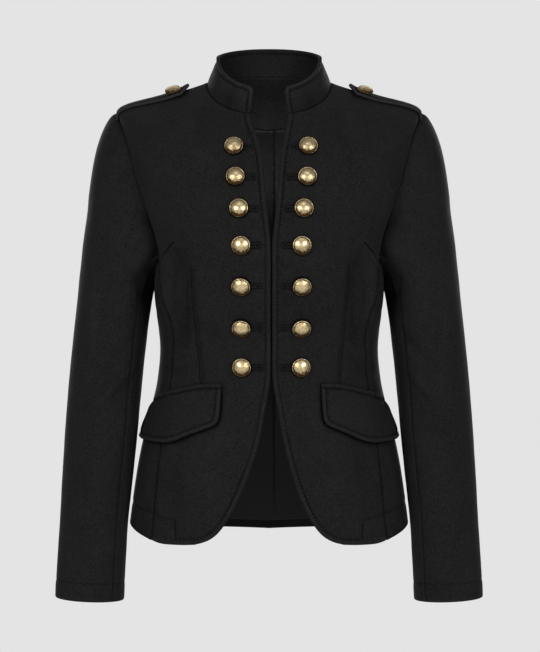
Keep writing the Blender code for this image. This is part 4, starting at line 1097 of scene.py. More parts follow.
# Painted shade along the facing's lower edge, on both faces
facing = clothShell("neckFacing", p, n, t, lined + 0.5 * s, lined - 0.0010 + 0.5 * s, 0.0004, "cloth", u,
                    -0.9 * bell(away, 0.0016), 1.0)
wear(facing, "shell_cloth", cuts["facing"], ["back_neck_facing"])
liningSizes = {"thick": 0.0009, "pleatDepth": 0.0042, "pleatReach": 0.016}
p, n, t, u, s, level, away = bothHalves(cloth, clothNormal, tiles[inLining], weave, soft, flat[:, 1], hemAway)
x = p[:, 0]
depth = liningSizes["pleatDepth"] * ease(0.070, 0.100, level) * (1 - 0.55 * ease(0.20, 0.52, level))
pleat = np.where(x < pleatX, np.exp(-np.abs(pleatX - x) / liningSizes["pleatReach"]), bell(x - pleatX, 0.0005))
waves = 0.0010 * np.sin(x * 2 * np.pi / 0.058 + 3 * level) * ease(0.10, 0.30, level) * ease(0.015, 0.05, np.abs(x))
inward = (depth * pleat + np.abs(waves)) * (0.12 + 0.88 * ease(0.0, 0.045, away))
lining = clothShell("backLining", p, n, t, lined - inward + 0.5 * s, lined - liningSizes["thick"] - inward + 0.5 * s,
                    0.0003, "lining", u)
wear(lining, "lining_cloth", cuts["lining"], ["back_lining"])
print("blazer: area of facing %.5f, lining %.5f" % (outerArea(facing), outerArea(lining)))

# Collar

collarSizes = {"thick": 0.0026, "height": 0.0365, "corner": 0.0085, "span": 0.26, "grid": 0.0028, "stitch": 0.0064}
corner, cornerK = collarSizes["corner"] / collarSizes["span"], collarSizes["corner"] / collarSizes["height"]
bend = np.linspace(0, math.pi / 2, 10)
rounded = np.stack([edgeTurn + corner * (1 - np.cos(bend)), 1 - cornerK * (1 - np.sin(bend))], axis=1)
collarFront = np.stack([np.full(11, edgeTurn), np.linspace(0, 1 - cornerK, 11)], axis=1)
collarTopLine = np.stack([np.linspace(rounded[-1][0], 1.0, 80), np.ones(80)], axis=1)
collarBase = joined(neckFront, neckBack)
collarBack = np.stack([np.ones(14), np.linspace(0, 1, 14)], axis=1)
collarFree = joined(collarFront, rounded, collarTopLine)
collarLoop = joined(collarBase, collarBack, collarFree[::-1])
collarScale = (collarSizes["span"], collarSizes["height"])

collarStitch = beside(collarFree, -collarSizes["stitch"], collar, 1.0)
collarStitch = collarStitch[(collarStitch[:, 1] > 0.0) & (collarStitch[:, 1] < 0.95)]
collarStitch[-1, 0] = 1.0
collarStitch = evenly(collarStitch, 0.0011, surface=collar)
collarStitchLine = laid(collarStitch, collar)
collarExtra = [rows(collarStitch, (-0.0016, -0.0007, 0.0, 0.0007, 0.0016), collar, 1.0),
               rows(evenly(collarFree, 0.0018, surface=collar), (-0.0012, -0.0024, -0.0036, -0.0048), collar, 1.0),
               rows(collarBase, (-0.0040, -0.0025, -0.0012, 0.0012, 0.0025, 0.0040), collar, 1.0)]
collarFlat, collarTiles = tile([collarBase, collarFront, rounded, collarTopLine, collarBack], collarExtra, collarLoop,
                               collarSizes["grid"], collarScale)
collarTiles = collarTiles[inside(collarFlat[collarTiles].mean(axis=1), collarLoop)]
collarPoints = laid(collarFlat, collar)
collarNormal = normalsOf(collar, collarFlat[:, 0], collarFlat[:, 1], 1.0)
freeLine = laid(collarFree, collar)
baseLine = laid(collarBase, collar)


def collarHeight(points, turn, stitched=True):
    free, run = distanceTo(points, freeLine)
    base, _ = distanceTo(points, baseLine)
    band = bandShape(free, collarSizes["stitch"] - 0.0008, 1 - 0.15 * np.sin(run * 2 * np.pi / 0.037))
    groove, dark = threaded(points, collarStitchLine, stitchPitch, 0.00160, 0.00085)
    h = 0.00140 * band + groove * stitched - 0.00085 * bell(base, 0.0011) - 0.00025 * bell(base, 0.0050)
    h += (0.0009 * bell(turn - 0.22, 0.030) - 0.0008 * bell(turn - 0.275, 0.025)) * (1 - ease(0.012, 0.030, base))
    # Painted light: rubbing with painted sheen on the free edge, painted shade in the needle holes and the neck seam,
    # the whole collar painted darker as in shade, painted shade at the side of the neck and a painted paler patch
    # further back
    paintedLightAndRub = (edgeRubAndSheen + 0.12) * band + dark * stitched - 0.6 * bell(base, 0.0009) - 0.40
    paintedLightAndRub -= 0.26 * bell(turn - 0.215, 0.026) * bell(base - 0.012, 0.012) - 0.10 * bell(turn - 0.300, 0.030)
    return h + 0.00018 * ripple(points, 8, 0.040, 8), paintedLightAndRub


collarRelief, collarLightAndRub = collarHeight(collarPoints, collarFlat[:, 0])
collarFoot = collarPoints.copy()
collarPoints[:, 2] -= 0.0009 * (1 - collarFlat[:, 1]) ** 3   # its foot is sunk into the neck seam
collarRoll = np.where(distanceTo(collarFoot, freeLine)[0] < 0.0004, 0.0010, seamRoll)
collarUv = np.stack([collarFlat[:, 0] * 0.23, -collarFlat[:, 1] * collarSizes["height"]], axis=1)
p, n, t, h, roll, u, w = bothHalves(collarPoints, collarNormal, collarTiles, collarRelief, collarRoll, collarUv,
                                    collarLightAndRub)
collarPiece = clothShell("collarCloth", p, n, t, h, -collarSizes["thick"] - 0.4 * h, roll, "cloth", u, w, 0.7)
wear(collarPiece, "shell_cloth", cuts["collar"], ["collar"])
print("blazer: collar made, area %.5f, %d triangles" % (outerArea(collarPiece), len(collarPiece.data.polygons)))

# Sleeves

# Rings of the arm: height, centre x, centre y, half width, half depth
sleeveRings = (
    (-0.1000, 0.1840, 0.004, 0.0453, 0.0600), (-0.1600, 0.1879, 0.003, 0.0460, 0.0600),
    (-0.2160, 0.1930, 0.002, 0.0478, 0.0595), (-0.2735, 0.1988, 0.000, 0.0477, 0.0575),
    (-0.3508, 0.2073, -0.004, 0.0474, 0.0530), (-0.4275, 0.2139, -0.009, 0.0469, 0.0490),
    (-0.5050, 0.2198, -0.016, 0.0454, 0.0450), (-0.5805, 0.2249, -0.025, 0.0436, 0.0405),
    (-0.6610, 0.2288, -0.035, 0.0438, 0.0365), (-0.7000, 0.2302, -0.039, 0.0438, 0.0360),
)
sleeveSizes = {
    "cuffFrontZ": -0.6615, "cuffBackZ": -0.6580, "cuffOuterRise": 0.0019, "capOuterZ": -0.150, "capInnerZ": -0.2760,
    "frontSeam": 9 / 24, "backSeam": 17 / 24,   # turns of the two seams
    "girth": 0.29, "thick": 0.0020, "rowStep": 0.0033,
    "cuffStitch": 0.0226, "cuffCount": 60,      # how far up the cuff's stitching lies, and its number of stitches
}
# Large soft folds, as in the solids: height, turn, half height, half turn, slant, depth
sleeveFolds = (
    (-0.315, 0.24, 0.060, 0.060, -0.9, 0.0032), (-0.420, 0.33, 0.050, 0.055, 1.2, 0.0020),
    (-0.370, 0.72, 0.060, 0.070, 0.8, 0.0026), (-0.225, 0.20, 0.045, 0.060, -0.6, 0.0018),
)
# Smaller creases: height, turn, half height, half turn, slant, rise
sleeveCreases = (
    (-0.185, 0.285, 0.060, 0.026, -0.5, -0.0016), (-0.170, 0.345, 0.045, 0.020, -0.9, 0.0012),
    (-0.300, 0.170, 0.070, 0.024, -0.4, 0.0012), (-0.352, 0.300, 0.030, 0.030, 2.6, -0.0018),
    (-0.385, 0.325, 0.026, 0.026, 3.0, 0.0014), (-0.410, 0.290, 0.024, 0.022, 2.4, -0.0012),
    (-0.345, 0.760, 0.028, 0.032, -2.8, -0.0018), (-0.372, 0.700, 0.026, 0.030, -3.2, 0.0015),
    (-0.400, 0.780, 0.028, 0.024, -2.4, -0.0014), (-0.430, 0.660, 0.030, 0.022, -2.0, 0.0010),
    (-0.240, 0.640, 0.050, 0.024, 0.7, -0.0013), (-0.200, 0.800, 0.055, 0.026, 0.4, 0.0012),
    (-0.480, 0.200, 0.060, 0.030, 0.5, -0.0009), (-0.520, 0.420, 0.045, 0.024, -0.5, 0.0010),
    (-0.560, 0.640, 0.050, 0.026, 0.6, -0.0011), (-0.590, 0.140, 0.040, 0.030, -0.4, 0.0008),
    (-0.130, 0.130, 0.040, 0.030, 0.3, 0.0008), (-0.125, 0.880, 0.045, 0.028, -0.4, -0.0009),
    (-0.455, 0.900, 0.060, 0.030, 0.3, -0.0009), (-0.330, 0.950, 0.070, 0.032, -0.2, 0.0009),
)
sleeveAt = np.linspace(0.10, 0.70, 1200)
sleeveRows = smoothColumns([(-row[0],) + row[1:] for row in sleeveRings], sleeveAt)

# The deep fold beside the armpit, and the fullness under it that meets the side
armpitFolds = ((-0.228, 0.402, 0.048, 0.044, -0.10, -0.0120), (-0.2565, 0.500, 0.0100, 0.090, 0.0, 0.0042))


def foldSum(turn, z, table, sign):
    out = np.zeros(np.broadcast(turn, z).shape)
    for z0, t0, tall, wide, slant, depth in table:
        across = (turn - t0 - slant * (z - z0)) / wide
        if sign < 0:
            out -= depth * np.exp(-across ** 2 * 1.4) * np.exp(-((z - z0) / tall) ** 2 * 1.2)
        else:
            wave = bell(across, 1.0) - 0.40 * bell(across - 1.7, 0.9) - 0.18 * bell(across + 1.8, 1.1)
            out += depth * wave * bell(z - z0, tall)
    return out


def arm(turn, z):
    columns = [np.interp(-z, sleeveAt, sleeveRows[:, i]) for i in range(4)]
    angle, fold = 2 * np.pi * turn, foldSum(turn, z, sleeveFolds, -1)
    x = columns[0] + (columns[2] + fold) * np.cos(angle)
    return np.stack([x, columns[1] - (columns[3] + fold) * np.sin(angle), z], axis=-1)


def sleeveGrid():
    # Rows from the armhole down to the cuff, columns round the arm from the shoulder point
    s = sleeveSizes
    start = body(armhole[:, 0], armhole[:, 1])
    along = np.roll(start[:-1], -1, axis=0) - np.roll(start[:-1], 1, axis=0)
    out = np.cross(bodyNormals(armhole[:, 0], armhole[:, 1]), np.vstack([along, along[:1]]))
    out *= np.where((out[:, 0] > 0) | (out[:, 2] > 0), 1, -1)[:, None]
    out /= np.linalg.norm(out, axis=1, keepdims=True)
    turn = np.linspace(0, 1, len(start))
    low = (1 - np.cos(2 * np.pi * turn)) / 2
    out[:, 1] *= 0.25
    lower = ease(0.35, 0.85, low)[:, None]
    out = out * (1 - lower) + np.array([1.0, 0.0, 0.0]) * lower
    top = 1 - ease(0.0, 0.22, low)[:, None]
    out = out * (1 - top) + np.array([1.0, 0.0, -0.10]) * top
    out[:, 0] = np.maximum(out[:, 0], 0.35)
    out /= np.linalg.norm(out, axis=1, keepdims=True)
    for _ in range(2 * fineness ** 2):
        ring = out[:-1]
        ring = (np.roll(ring, 1, axis=0) + 2 * ring + np.roll(ring, -1, axis=0)) / 4
        out = np.vstack([ring, ring[:1]])
    out /= np.linalg.norm(out, axis=1, keepdims=True)
    capZ = s["capOuterZ"] + (s["capInnerZ"] - s["capOuterZ"]) * low ** 0.8
    end = arm(turn, capZ)
    down = arm(turn, capZ - 0.004) - end
    down /= np.linalg.norm(down, axis=1, keepdims=True)
    reach = np.linalg.norm(end - start, axis=1)
    pull0 = (reach * (0.69 - 0.29 * ease(0.0, 0.8, low)))[:, None]
    pull1 = (reach * (0.66 + 0.22 * low))[:, None]
    grid = []
    for u in np.linspace(0, 1, round(0.13 / s["rowStep"]) + 1):
        grid.append((2 * u ** 3 - 3 * u ** 2 + 1) * start + (u ** 3 - 2 * u ** 2 + u) * out * pull0
                    + (3 * u ** 2 - 2 * u ** 3) * end + (u ** 3 - u ** 2) * down * pull1)
    cuffZ = (s["cuffFrontZ"] + s["cuffBackZ"]) / 2 - (s["cuffBackZ"] - s["cuffFrontZ"]) / 2 * np.sin(2 * np.pi * turn)
    cuffZ = cuffZ + s["cuffOuterRise"] * np.cos(2 * np.pi * turn)
    foot = [0.048, 0.0445, 0.041, 0.0375, 0.034, 0.031, 0.0285, 0.0262, 0.0246, 0.0236, 0.0226, 0.0216, 0.0206, 0.019,
            0.0165, 0.0135, 0.0105, 0.0075, 0.0048, 0.0026, 0.0]
    for u in np.linspace(0, 1, round(0.40 / s["rowStep"]) + 1)[1:-1]:
        grid.append(arm(turn, capZ + (cuffZ + foot[0] - capZ) * u))
    for rise in foot:
        grid.append(arm(turn, cuffZ + rise))
    grid = np.array(grid)
    grid[0] -= out * 0.0012   # sunk into the armhole seam
    grid[:, -1] = grid[:, 0]
    return grid, turn, cuffZ


def gridNormals(grid):
    roundIt = np.roll(grid[:, :-1], -1, axis=1) - np.roll(grid[:, :-1], 1, axis=1)
    n = np.cross(np.gradient(grid, axis=0), np.concatenate([roundIt, roundIt[:, :1]], axis=1))
    n /= np.linalg.norm(n, axis=-1, keepdims=True)
    outward = ((grid - grid.mean(axis=1, keepdims=True)) * n).sum() > 0
    return n if outward else -n


sleeve, sleeveTurn, cuffZ = sleeveGrid()
sleeveNormal = gridNormals(sleeve)
rowCount, columnCount = sleeve.shape[:2]
downRun = np.stack([runAlong(sleeve[:, column]) for column in range(columnCount)], axis=1)


def sleeveHeight():
    s = sleeveSizes
    z, turn = sleeve[..., 2], np.broadcast_to(sleeveTurn, sleeve.shape[:2])
    h = foldSum(turn, z, sleeveCreases, 1)
    flatPoints = sleeve.reshape(-1, 3)
    h += (0.00028 * ripple(flatPoints, 9, 0.080, 13) + 0.00012 * ripple(flatPoints, 9, 0.028, 15)).reshape(z.shape)
    h *= ease(0.0, 0.020, downRun) * ease(0.0, 0.020, z - cuffZ)
    h += foldSum(turn, z, armpitFolds, 1) * ease(0.0, 0.005, downRun)
    # Painted shade in the troughs of creases and painted highlight on their ridges
    paintedLightAndRub = paintedCreaseShading * np.minimum(h, 0.0015)
    fromSeams = [np.abs(turn - seam) * s["girth"] for seam in (s["frontSeam"], s["backSeam"])]
    for d in fromSeams:
        h -= valley(d, 0.00080, 0.0013, 0.00018, 0.0040)
    h -= 0.00080 * bell(downRun, 0.0013) + 0.00020 * bell(downRun, 0.0050)
    headTop = bell(np.minimum(turn, 1 - turn), 0.22)
    h += 0.0007 * headTop * bell(downRun - 0.010, 0.008)   # fullness eased into the sleeve head
    h += 0.00030 * headTop * np.sin(turn * 2 * np.pi * 34) * bell(downRun - 0.007, 0.006)
    up = z - cuffZ
    hole = bell(np.abs(turn * s["cuffCount"] % 1 - 0.5) * stitchPitch, 0.0008)
    h -= (0.00055 + 0.00045 * hole) * bell(up - s["cuffStitch"], 0.0009)
    h += 0.00030 * ease(0.0, 0.003, up) * (1 - ease(0.016, 0.021, up))
    # Painted light: shade in the cuff's needle holes and along the armhole seam, paler along the cuff's fold as rubbing
    # and painted sheen, painted shade where the sleeve meets the body below the armpit, and in the seams
    paintedLightAndRub -= 0.9 * (0.25 + 0.75 * hole) * bell(up - s["cuffStitch"], 0.0008) + 0.6 * bell(downRun, 0.0009)
    paintedLightAndRub += 0.20 * bell(up - 0.0012, 0.0016) - 1.1 * bell(turn - 0.425, 0.048) * bell(z + 0.232, 0.056)
    paintedLightAndRub -= 0.75 * bell(turn - 0.470, 0.045) * ease(-0.235, -0.275, z) * ease(-0.470, -0.360, z)
    paintedLightAndRub -= 1.0 * bell(downRun, 0.013) * ease(-0.150, -0.190, z)
    for d in fromSeams:
        paintedLightAndRub -= 0.5 * bell(d, 0.0009)
    return h, paintedLightAndRub


sleeveRelief, sleeveLightAndRub = sleeveHeight()


def strip(a, b, belowA, belowB):
    # Two triangles between each pair of points and the pair below it
    return [np.stack([a, b, belowB], axis=1), np.stack([a, belowB, belowA], axis=1)]


def sleeveTiles(columns):
    r, c = np.meshgrid(np.arange(rowCount - 1), np.arange(len(columns) - 1), indexing="ij")
    columns = np.asarray(columns)
    a, b = (r * columnCount + columns[c]).ravel(), (r * columnCount + columns[c + 1]).ravel()
    tris = np.vstack(strip(a, b, a + columnCount, b + columnCount))
    points, normal = sleeve.reshape(-1, 3), sleeveNormal.reshape(-1, 3)
    face = np.cross(points[tris[:, 1]] - points[tris[:, 0]], points[tris[:, 2]] - points[tris[:, 0]])
    return tris[:, ::-1] if (face * normal[tris[:, 0]]).sum() < 0 else tris


lastColumn = columnCount - 1
firstUnder, lastUnder = (round(sleeveSizes[seam] * lastColumn) for seam in ("frontSeam", "backSeam"))
topColumns = list(range(lastUnder, lastColumn)) + list(range(0, firstUnder + 1))
underColumns = list(range(firstUnder, lastUnder + 1))
sleeveUv = np.stack([np.broadcast_to(sleeveTurn * sleeveSizes["girth"], sleeve.shape[:2]), downRun], axis=-1)
sleeveUv = sleeveUv.reshape(-1, 2)
sleeveRoll = np.full(sleeve.shape[:2], seamRoll)
sleeveRoll[-1] = edgeRoll
h = sleeveRelief.ravel()
for side in ("right", "left"):
    for name, columns, node in (("sleeveTop", topColumns, "sleeve_top_"),
                                ("sleeveUnder", underColumns, "sleeve_under_")):
        p, n, t = onSide(side, sleeve.reshape(-1, 3), sleeveNormal.reshape(-1, 3), sleeveTiles(columns))
        piece = clothShell(name + "_" + side, p, n, t, h, -sleeveSizes["thick"] + 0.6 * h, sleeveRoll.ravel(), "cloth",
                           sleeveUv, sleeveLightAndRub.ravel())
        wear(piece, "shell_cloth", cuts[name], [node + side])
        print("blazer: area of %s %.5f, %d triangles" % (name, outerArea(piece), len(piece.data.polygons)))
print("blazer: sleeves made")

# Buttons

buttonSizes = {
    "radius": 0.0115, "strapRadius": 0.0102, "dome": 0.0052, "standoff": 0.0024, "shankShare": 0.22, "sides": 72,
}
# Turned profile: radius and height as shares, and how deep the tarnish sits
buttonProfile = (
    (0.22, -0.55, 1.0), (0.22, -0.04, 1.0), (0.60, -0.03, 0.9), (0.88, 0.00, 0.7), (0.955, 0.05, 0.6),
    (0.99, 0.11, 0.45), (1.00, 0.17, 0.35), (0.998, 0.23, 0.25), (0.980, 0.285, 0.15), (0.955, 0.305, 0.15),
    (0.930, 0.290, 0.6),
    (0.912, 0.255, 1.0), (0.896, 0.245, 1.0), (0.878, 0.270, 0.95), (0.850, 0.335, 0.70), (0.81, 0.405, 0.50),
    (0.76, 0.482, 0.36), (0.69, 0.572, 0.26), (0.61, 0.660, 0.18), (0.54, 0.730, 0.12), (0.47, 0.792, 0.08),
    (0.40, 0.846, 0.05), (0.33, 0.893, 0.05), (0.26, 0.933, 0.05), (0.19, 0.964, 0.05), (0.12, 0.986, 0.05),
    (0.06, 0.997, 0.05),
)


def seat(side, turn, v, lean, leanWay, radius, lift):
    # Middle of a button's back, its axis and the length of its shank, over the cloth
    s = buttonSizes
    p, n = body(turn, v), bodyNormals(np.array([turn]), np.array([v]))[0]
    tilt = math.radians(lean)
    axis = n * math.cos(tilt) + np.array(leanWay) * math.sin(tilt)
    axis /= np.linalg.norm(axis)
    rise = max(s["standoff"], radius * math.sin(tilt) + 0.0011)
    shank = rise / math.cos(tilt) - 0.0005 - s["shankShare"] * radius * math.tan(tilt)
    p = p + n * (rise + lift)
    if side == "right":
        p, axis = p * otherSide, axis * otherSide
    return drift(p[None])[0], axis, shank


def makeButton(name, centre, axis, shank, radius):
    s = buttonSizes
    level = np.cross((0.0, 0.0, 1.0), axis)
    if np.linalg.norm(level) < 0.2:
        level = np.array([1.0, 0.0, 0.0]) - axis * axis[0]
    level /= np.linalg.norm(level)
    upward = np.cross(axis, level)
    dome, count = s["dome"] * radius / s["radius"], s["sides"]
    angle = 2 * np.pi * np.arange(count) / count
    aroundIt = level * np.cos(angle)[:, None] + upward * np.sin(angle)[:, None]
    foot = 0.85 * ease(0.22, -0.95, np.sin(angle))   # painted reflection: the lower side is darker, as if it mirrored the dark space below
    points, deep = [], []
    for share, height, tarnish in buttonProfile:
        lift = -shank if height < -0.5 else height * dome
        points.append(centre + axis * lift + aroundIt * share * radius)
        deep.append(tarnish + foot * share ** 1.2 * (share > 0.2))
    rings = len(points)
    points = np.vstack(points + [[centre + axis * dome], [centre - axis * shank]])
    deep = np.concatenate(deep + [[0.0], [1.0]])
    i = np.arange(count)
    j = (i + 1) % count
    faces = []
    for r in range(rings - 1):
        a, b = r * count + i, r * count + j
        faces += strip(a, b, a + count, b + count)
    top, under = np.full(count, rings * count), np.full(count, rings * count + 1)
    faces += [np.stack([a + count, b + count, top], axis=1), np.stack([j, i, under], axis=1)]
    piece = addPiece(name, points, np.vstack(faces), "brass")
    # Patina in the grooves and hollows, with painted reflection darkening the lower side
    piece.data.attributes.new("patinaAndPaintedReflection", "FLOAT", "POINT").data.foreach_set("value", deep.astype(np.float32))
    return piece


for side in ("right", "left"):
    for i, (x, z, droop, _) in enumerate(buttonRows, 1):
        seated = seat(side, *locate(x, z), droop, (0.0, 0.0, -1.0), buttonSizes["radius"], 0.0)
        piece = makeButton("brassButton_%s_%d" % (side, i), *seated, buttonSizes["radius"])
        wear(piece, "brass", None, ["button_%s_%d" % (side, i)])
    level = ridgeLevel(strapSizes["buttonX"])
    lift = layerGap + strapSizes["thick"] + strapSizes["lift"] * 0.10
    seated = seat(side, turnAt(level, body(0.5, level)[1] - strapSizes["buttonForward"]), level,
                  strapSizes["buttonLean"], (0.0, -1.0, 0.0), buttonSizes["strapRadius"], lift)
    piece = makeButton("brassButton_strap_" + side, *seated, buttonSizes["strapRadius"])
    wear(piece, "brass", None, ["button_epaulette_" + side])
print("blazer: buttons made, %d triangles each" % len(piece.data.polygons))

# Stitches

stitchSizes = {"long": 0.0029, "wide": 0.00062, "high": 0.00055, "wander": 0.05}


def stitchTree():
    # Geometry Nodes: one thread grain at each point of a path, along it and flat on the cloth
    tree = bpy.data.node_groups.new("stitch row", "GeometryNodeTree")
    sockets = {"Path": "Geometry", "Long": "Float", "Wide": "Float", "High": "Float", "Quarter Turn": "Float",
               "Wander": "Float", "Seed": "Int", "Thread": "Material"}
    for name, kind in sockets.items():
        tree.interface.new_socket(name, in_out="INPUT", socket_type="NodeSocket" + kind)
    tree.interface.new_socket("Stitches", in_out="OUTPUT", socket_type="NodeSocketGeometry")
    row = Nodes(tree)
    inputs = tree.nodes.new("NodeGroupInput").outputs
    given = {name: Signal(row, inputs[name]) for name in sockets}
    path = row.node("GeometryNodeMeshToCurve", {"Mesh": given["Path"]})
    grain = row.node("GeometryNodeMeshUVSphere", {"Segments": 6, "Rings": 4, "Radius": 0.5})
    size = row.node("ShaderNodeCombineXYZ", {0: given["Long"], 1: given["Wide"], 2: given["High"]})
    grain = row.node("GeometryNodeTransform", {"Geometry": grain, "Scale": size})
    grain = row.node("GeometryNodeSetShadeSmooth", {"Geometry": grain, "Shade Smooth": True})
    along = row.node("GeometryNodeInputTangent")
    out = row.node("GeometryNodeInputNamedAttribute", {"Name": "out"}, data_type="FLOAT_VECTOR")
    turned = row.node("FunctionNodeAlignRotationToVector", {"Vector": along}, axis="X")
    turned = row.node("FunctionNodeAlignRotationToVector", {"Rotation": turned, "Vector": out}, axis="Z",
                      pivot_axis="X")
    stray = row.node("FunctionNodeRandomValue", {"Seed": given["Seed"]}, 1, data_type="FLOAT")
    stray = row.node("ShaderNodeMath", {0: stray, 1: 2.0, 2: -1.0}, operation="MULTIPLY_ADD")
    swing = row.node("ShaderNodeMath", {0: stray, 1: given["Wander"], 2: given["Quarter Turn"]},
                     operation="MULTIPLY_ADD")
    spin = row.node("FunctionNodeAxisAngleToRotation", {"Axis": (0.0, 0.0, 1.0), "Angle": swing})
    turned = row.node("FunctionNodeRotateRotation", {"Rotation": turned, "Rotate By": spin}, rotation_space="LOCAL")
    placed = row.node("GeometryNodeInstanceOnPoints", {"Points": path, "Instance": grain, "Rotation": turned})
    real = row.node("GeometryNodeRealizeInstances", {"Geometry": placed})
    coloured = row.node("GeometryNodeSetMaterial", {"Geometry": real, "Material": given["Thread"]})
    row.feed(tree.nodes.new("NodeGroupOutput").inputs["Stitches"], coloured)
    return tree


stitchNodes = stitchTree()


def sew(name, paths, seed, quarterTurn=0.0, look="thread", **sizes):
    # One mesh of stitches along several paths; each path is its points and the cloth's outward directions
    s = {**stitchSizes, **sizes}
    points, outs, edges = [], [], []
    for line, out in paths:
        start = sum(len(p) for p in points)
        points.append(line)
        outs.append(out)
        edges += [(start + i, start + i + 1) for i in range(len(line) - 1)]
    mesh = bpy.data.meshes.new(name)
    mesh.from_pydata([tuple(p) for p in np.vstack(points)], edges, [])
    outward = mesh.attributes.new("out", "FLOAT_VECTOR", "POINT").data
    outward.foreach_set("vector", np.vstack(outs).astype(np.float32).ravel())
    piece = bpy.data.objects.new(name, mesh)
    bpy.context.scene.collection.objects.link(piece)
    maker = piece.modifiers.new("stitches", "NODES")
    maker.node_group = stitchNodes
    given = {"Long": s["long"], "Wide": s["wide"], "High": s["high"], "Quarter Turn": quarterTurn,
             "Wander": s["wander"], "Seed": seed, "Thread": looks[look]}
    for item in stitchNodes.interface.items_tree:
        if item.in_out == "INPUT" and item.name in given:
            maker[item.identifier] = given[item.name]
    made = bpy.data.meshes.new_from_object(piece.evaluated_get(bpy.context.evaluated_depsgraph_get()))
    piece.modifiers.remove(maker)
    piece.data = made
    wear(piece, "shell_cloth")
    return piece


def bothSides(line, out):
    return [(drift(line), out), (drift(line * otherSide), out * otherSide)]


def onBody(curve, rise, height, pitch):
    # A stitch at every pitch of a curve laid on the cloth, for both sides of the jacket
    curve = evenly(curve, pitch)
    t, v = curve[:, 0], curve[:, 1]
    p, n = body(t, v), bodyNormals(t, v)
    return bothSides(p + n * (height(t, v, p) + rise)[:, None], n)


def panelHeight(t, v, p):
    return softHeight(t, v, p) + sewnHeight(p, False)[0]


lieIn = -0.00030       # edge stitches, drawn into the cloth
seamLieIn = -0.00020
sew("edgeStitches", onBody(stitchCurve, lieIn, panelHeight, stitchPitch), 1)
hidden = inside(seamStitch, flapLoop) | inside(seamStitch, weltLoop)
firstHidden, lastHidden = np.flatnonzero(hidden)[[0, -1]]
waistSeen = waistStitch[waistStitch[:, 1] < np.interp(waistStitch[:, 0], weltTop[:, 0], weltTop[:, 1]) - 0.001]
seamPaths = [path for curve in (seamStitch[:firstHidden], seamStitch[lastHidden + 1:], waistSeen)
             for path in onBody(curve, seamLieIn, panelHeight, seamPitch)]
sew("seamStitches", seamPaths, 3, long=0.0024, wide=0.00045, high=0.00035)


def flapSurface(t, v, p):
    band, _ = bandHeight(p, flapSides, flapStitch, pocketSizes["stitch"], False)
    return softHeight(t, v, p) + band + flapGap(t, v, p) + pocketSizes["flapThick"]


def strapSurface(t, v, p):
    band, _ = bandHeight(p, strapLine, strapStitch, strapSizes["stitch"], False)
    return softHeight(t, v, p) * strapSizes["soft"] + band + strapGap(p) + strapSizes["thick"]


sew("flapStitches", onBody(flapStitch, lieIn, flapSurface, stitchPitch), 4)
sew("strapStitches", onBody(strapStitch, lieIn, strapSurface, stitchPitch), 5)

# Collar stitching, inside its free edge all round
sewnCollar = evenly(collarStitch, stitchPitch, surface=collar)
t, k = sewnCollar[:, 0], sewnCollar[:, 1]
p, n = collar(t, k), normalsOf(collar, t, k, 1.0)
sew("collarStitches", bothSides(p + n * (collarHeight(p, t, False)[0] + lieIn)[:, None], n), 6)

# Cuff stitching round each sleeve
rowUp = np.abs((sleeve[..., 2] - cuffZ) - sleeveSizes["cuffStitch"]).mean(axis=1).argmin()
ringRun = runAlong(sleeve[rowUp])
at = np.linspace(0, ringRun[-1], sleeveSizes["cuffCount"] + 1)[:-1]
line, out = (np.stack([np.interp(at, ringRun, ring[rowUp][:, i]) for i in range(3)], axis=1)
             for ring in (sleeve, sleeveNormal))
line = line - out * 0.00045
sew("cuffStitches", [(line, out), (line * otherSide, out * otherSide)], 7)

# Keyhole buttonholes: a bar of satin stitches round the slit, and round its eye
barPaths = []
for curve in holeCurves:
    half = holeSizes["bar"]
    upper, lower = beside(curve, half), beside(curve, -half)
    angle = np.linspace(math.pi / 2, -math.pi / 2, 11)[1:-1]
    way = 1.0 if curve[-1, 0] > curve[0, 0] else -1.0
    up = 1.0 if upper[-1, 1] > lower[-1, 1] else -1.0
    ring = [curve[-1] + (way * half * math.cos(a) / bodySpan, half * math.sin(a) * up) for a in angle]
    barPaths += onBody(np.vstack([upper, ring, lower[::-1]]), 0.0, panelHeight, 0.00062)
sew("buttonholes", barPaths, 8, math.pi / 2, "twist", long=0.0025, wide=0.00056, high=0.00050, wander=0.10)
print("blazer: stitches sewn")

# Stage, light and camera

stageSizes = {"floorZ": -1.30, "radius": 3.2, "sides": 96, "shade": (0.62, 0.63, 0.62, 1.0),
              "paler": (0.66, 0.665, 0.66, 1.0)}


def makeStage():
    # Round pale floor under the jacket
    s = stageSizes
    sides = s["sides"]
    angle = np.linspace(0, 2 * math.pi, sides, endpoint=False)
    rim = [(s["radius"] * math.cos(a), s["radius"] * math.sin(a), s["floorZ"]) for a in angle]
    faces = [(sides, i, (i + 1) % sides) for i in range(sides)]
    look = Look("pale floor", Roughness=0.9, Specular_IOR_Level=0.1)
    paper = look.noise(look.objectPlace(), 3.0, 2.0)
    look.set(Base_Color=look.blend((paper - 0.5) * 0.2 + 0.5, s["shade"], s["paler"]))
    looks["stage"] = look.material
    floor = addPiece("floor", rim + [(0.0, 0.0, s["floorZ"])], faces, "stage")


makeStage()

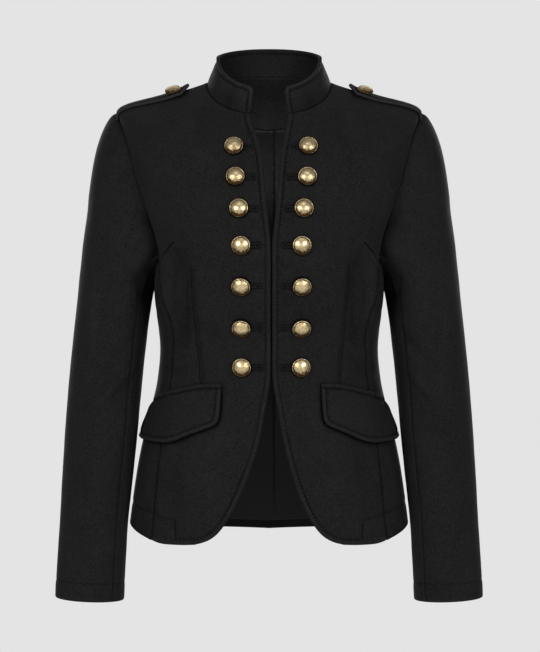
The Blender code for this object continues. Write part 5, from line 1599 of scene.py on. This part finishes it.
# Soft lights: name, place, aimed at, width, height, watts, colour
lights = (
    ("left", (-1.65, -2.5, 0.32), (0, 0, -0.32), 1.05, 1.15, 36.0, (1.0, 0.995, 0.985)),
    ("right", (1.65, -2.5, 0.32), (0, 0, -0.32), 1.05, 1.15, 36.0, (1.0, 0.995, 0.985)),
    ("above", (0.0, -2.0, 2.4), (0, 0, -0.25), 2.0, 1.0, 9.0, (1.0, 1.0, 1.0)),
    ("fill", (0.0, -3.6, -0.40), (0, 0, -0.35), 2.2, 1.2, 8.0, (1.0, 1.0, 1.0)),
    ("back left", (-1.5, 2.9, 0.6), (0, 0, -0.30), 1.2, 1.2, 42.0, (1.0, 1.0, 1.0)),
    ("back right", (1.5, 2.9, 0.6), (0, 0, -0.30), 1.2, 1.2, 42.0, (1.0, 1.0, 1.0)),
)


def hang(name, data, place, aim):
    # A light or camera at a place, turned to what it is aimed at
    holder = bpy.data.objects.new(name, data)
    holder.location = place
    holder.rotation_euler = (Vector(aim) - Vector(place)).to_track_quat("-Z", "Y").to_euler()
    bpy.context.scene.collection.objects.link(holder)
    return holder


for name, place, aim, wide, high, watts, colour in lights:
    lamp = bpy.data.lights.new(name, "AREA")
    lamp.shape, lamp.size, lamp.size_y, lamp.energy, lamp.color = "RECTANGLE", wide, high, watts, colour
    hang(name, lamp, place, aim)

spotSizes = {"place": (0.0, -1.5, 1.05), "aim": (0.0, 0.10, -0.080), "watts": 240.0, "degrees": 4.4, "soft": 0.9}
spot = bpy.data.lights.new("into the neck", "SPOT")
spot.energy, spot.spot_size, spot.spot_blend = spotSizes["watts"], math.radians(spotSizes["degrees"]), spotSizes["soft"]
spot.shadow_soft_size = 0.04
hang("into the neck", spot, spotSizes["place"], spotSizes["aim"])

# A pale studio: bright behind the jacket, dim in front and below; the camera sees it plain
world = bpy.data.worlds.new("studio air")
world.use_nodes = True
airSizes = {"behind": 0.74, "front": 0.17, "below": 0.35, "seen": 0.775}
air = Nodes(world.node_tree)
way = air.node("ShaderNodeSeparateXYZ", {0: air.node("ShaderNodeTexCoord")})
wayY, wayZ = Signal(air, way.socket.node.outputs[1]), Signal(air, way.socket.node.outputs[2])
glow = air.share(wayY, -0.05, 0.75) * (airSizes["behind"] - airSizes["front"]) + airSizes["front"]
glow = glow * (air.share(wayZ, -0.60, 0.05) * (1 - airSizes["below"]) + airSizes["below"])
seen = air.node("ShaderNodeLightPath")
plain = air.tree.nodes["Background"]
air.feed(plain.inputs[1], seen * airSizes["seen"] + (1 - seen) * glow)
plain.inputs[0].default_value = (1.0, 1.0, 1.0, 1.0)
bpy.context.scene.world = world
bpy.context.scene.view_settings.view_transform = "Standard"
bpy.context.scene.view_settings.look = "None"

eyeSizes = {"place": (0.0012, -3.0, -0.3135), "aim": (0.0012, 0.0, -0.3135), "lens": 128.37}
view = bpy.data.cameras.new("photo view")
view.lens, view.sensor_width, view.sensor_fit = eyeSizes["lens"], 36.0, "AUTO"
view.clip_start, view.clip_end = 0.05, 30.0
bpy.context.scene.camera = hang("photo view", view, eyeSizes["place"], eyeSizes["aim"])

print("blazer: dressed")
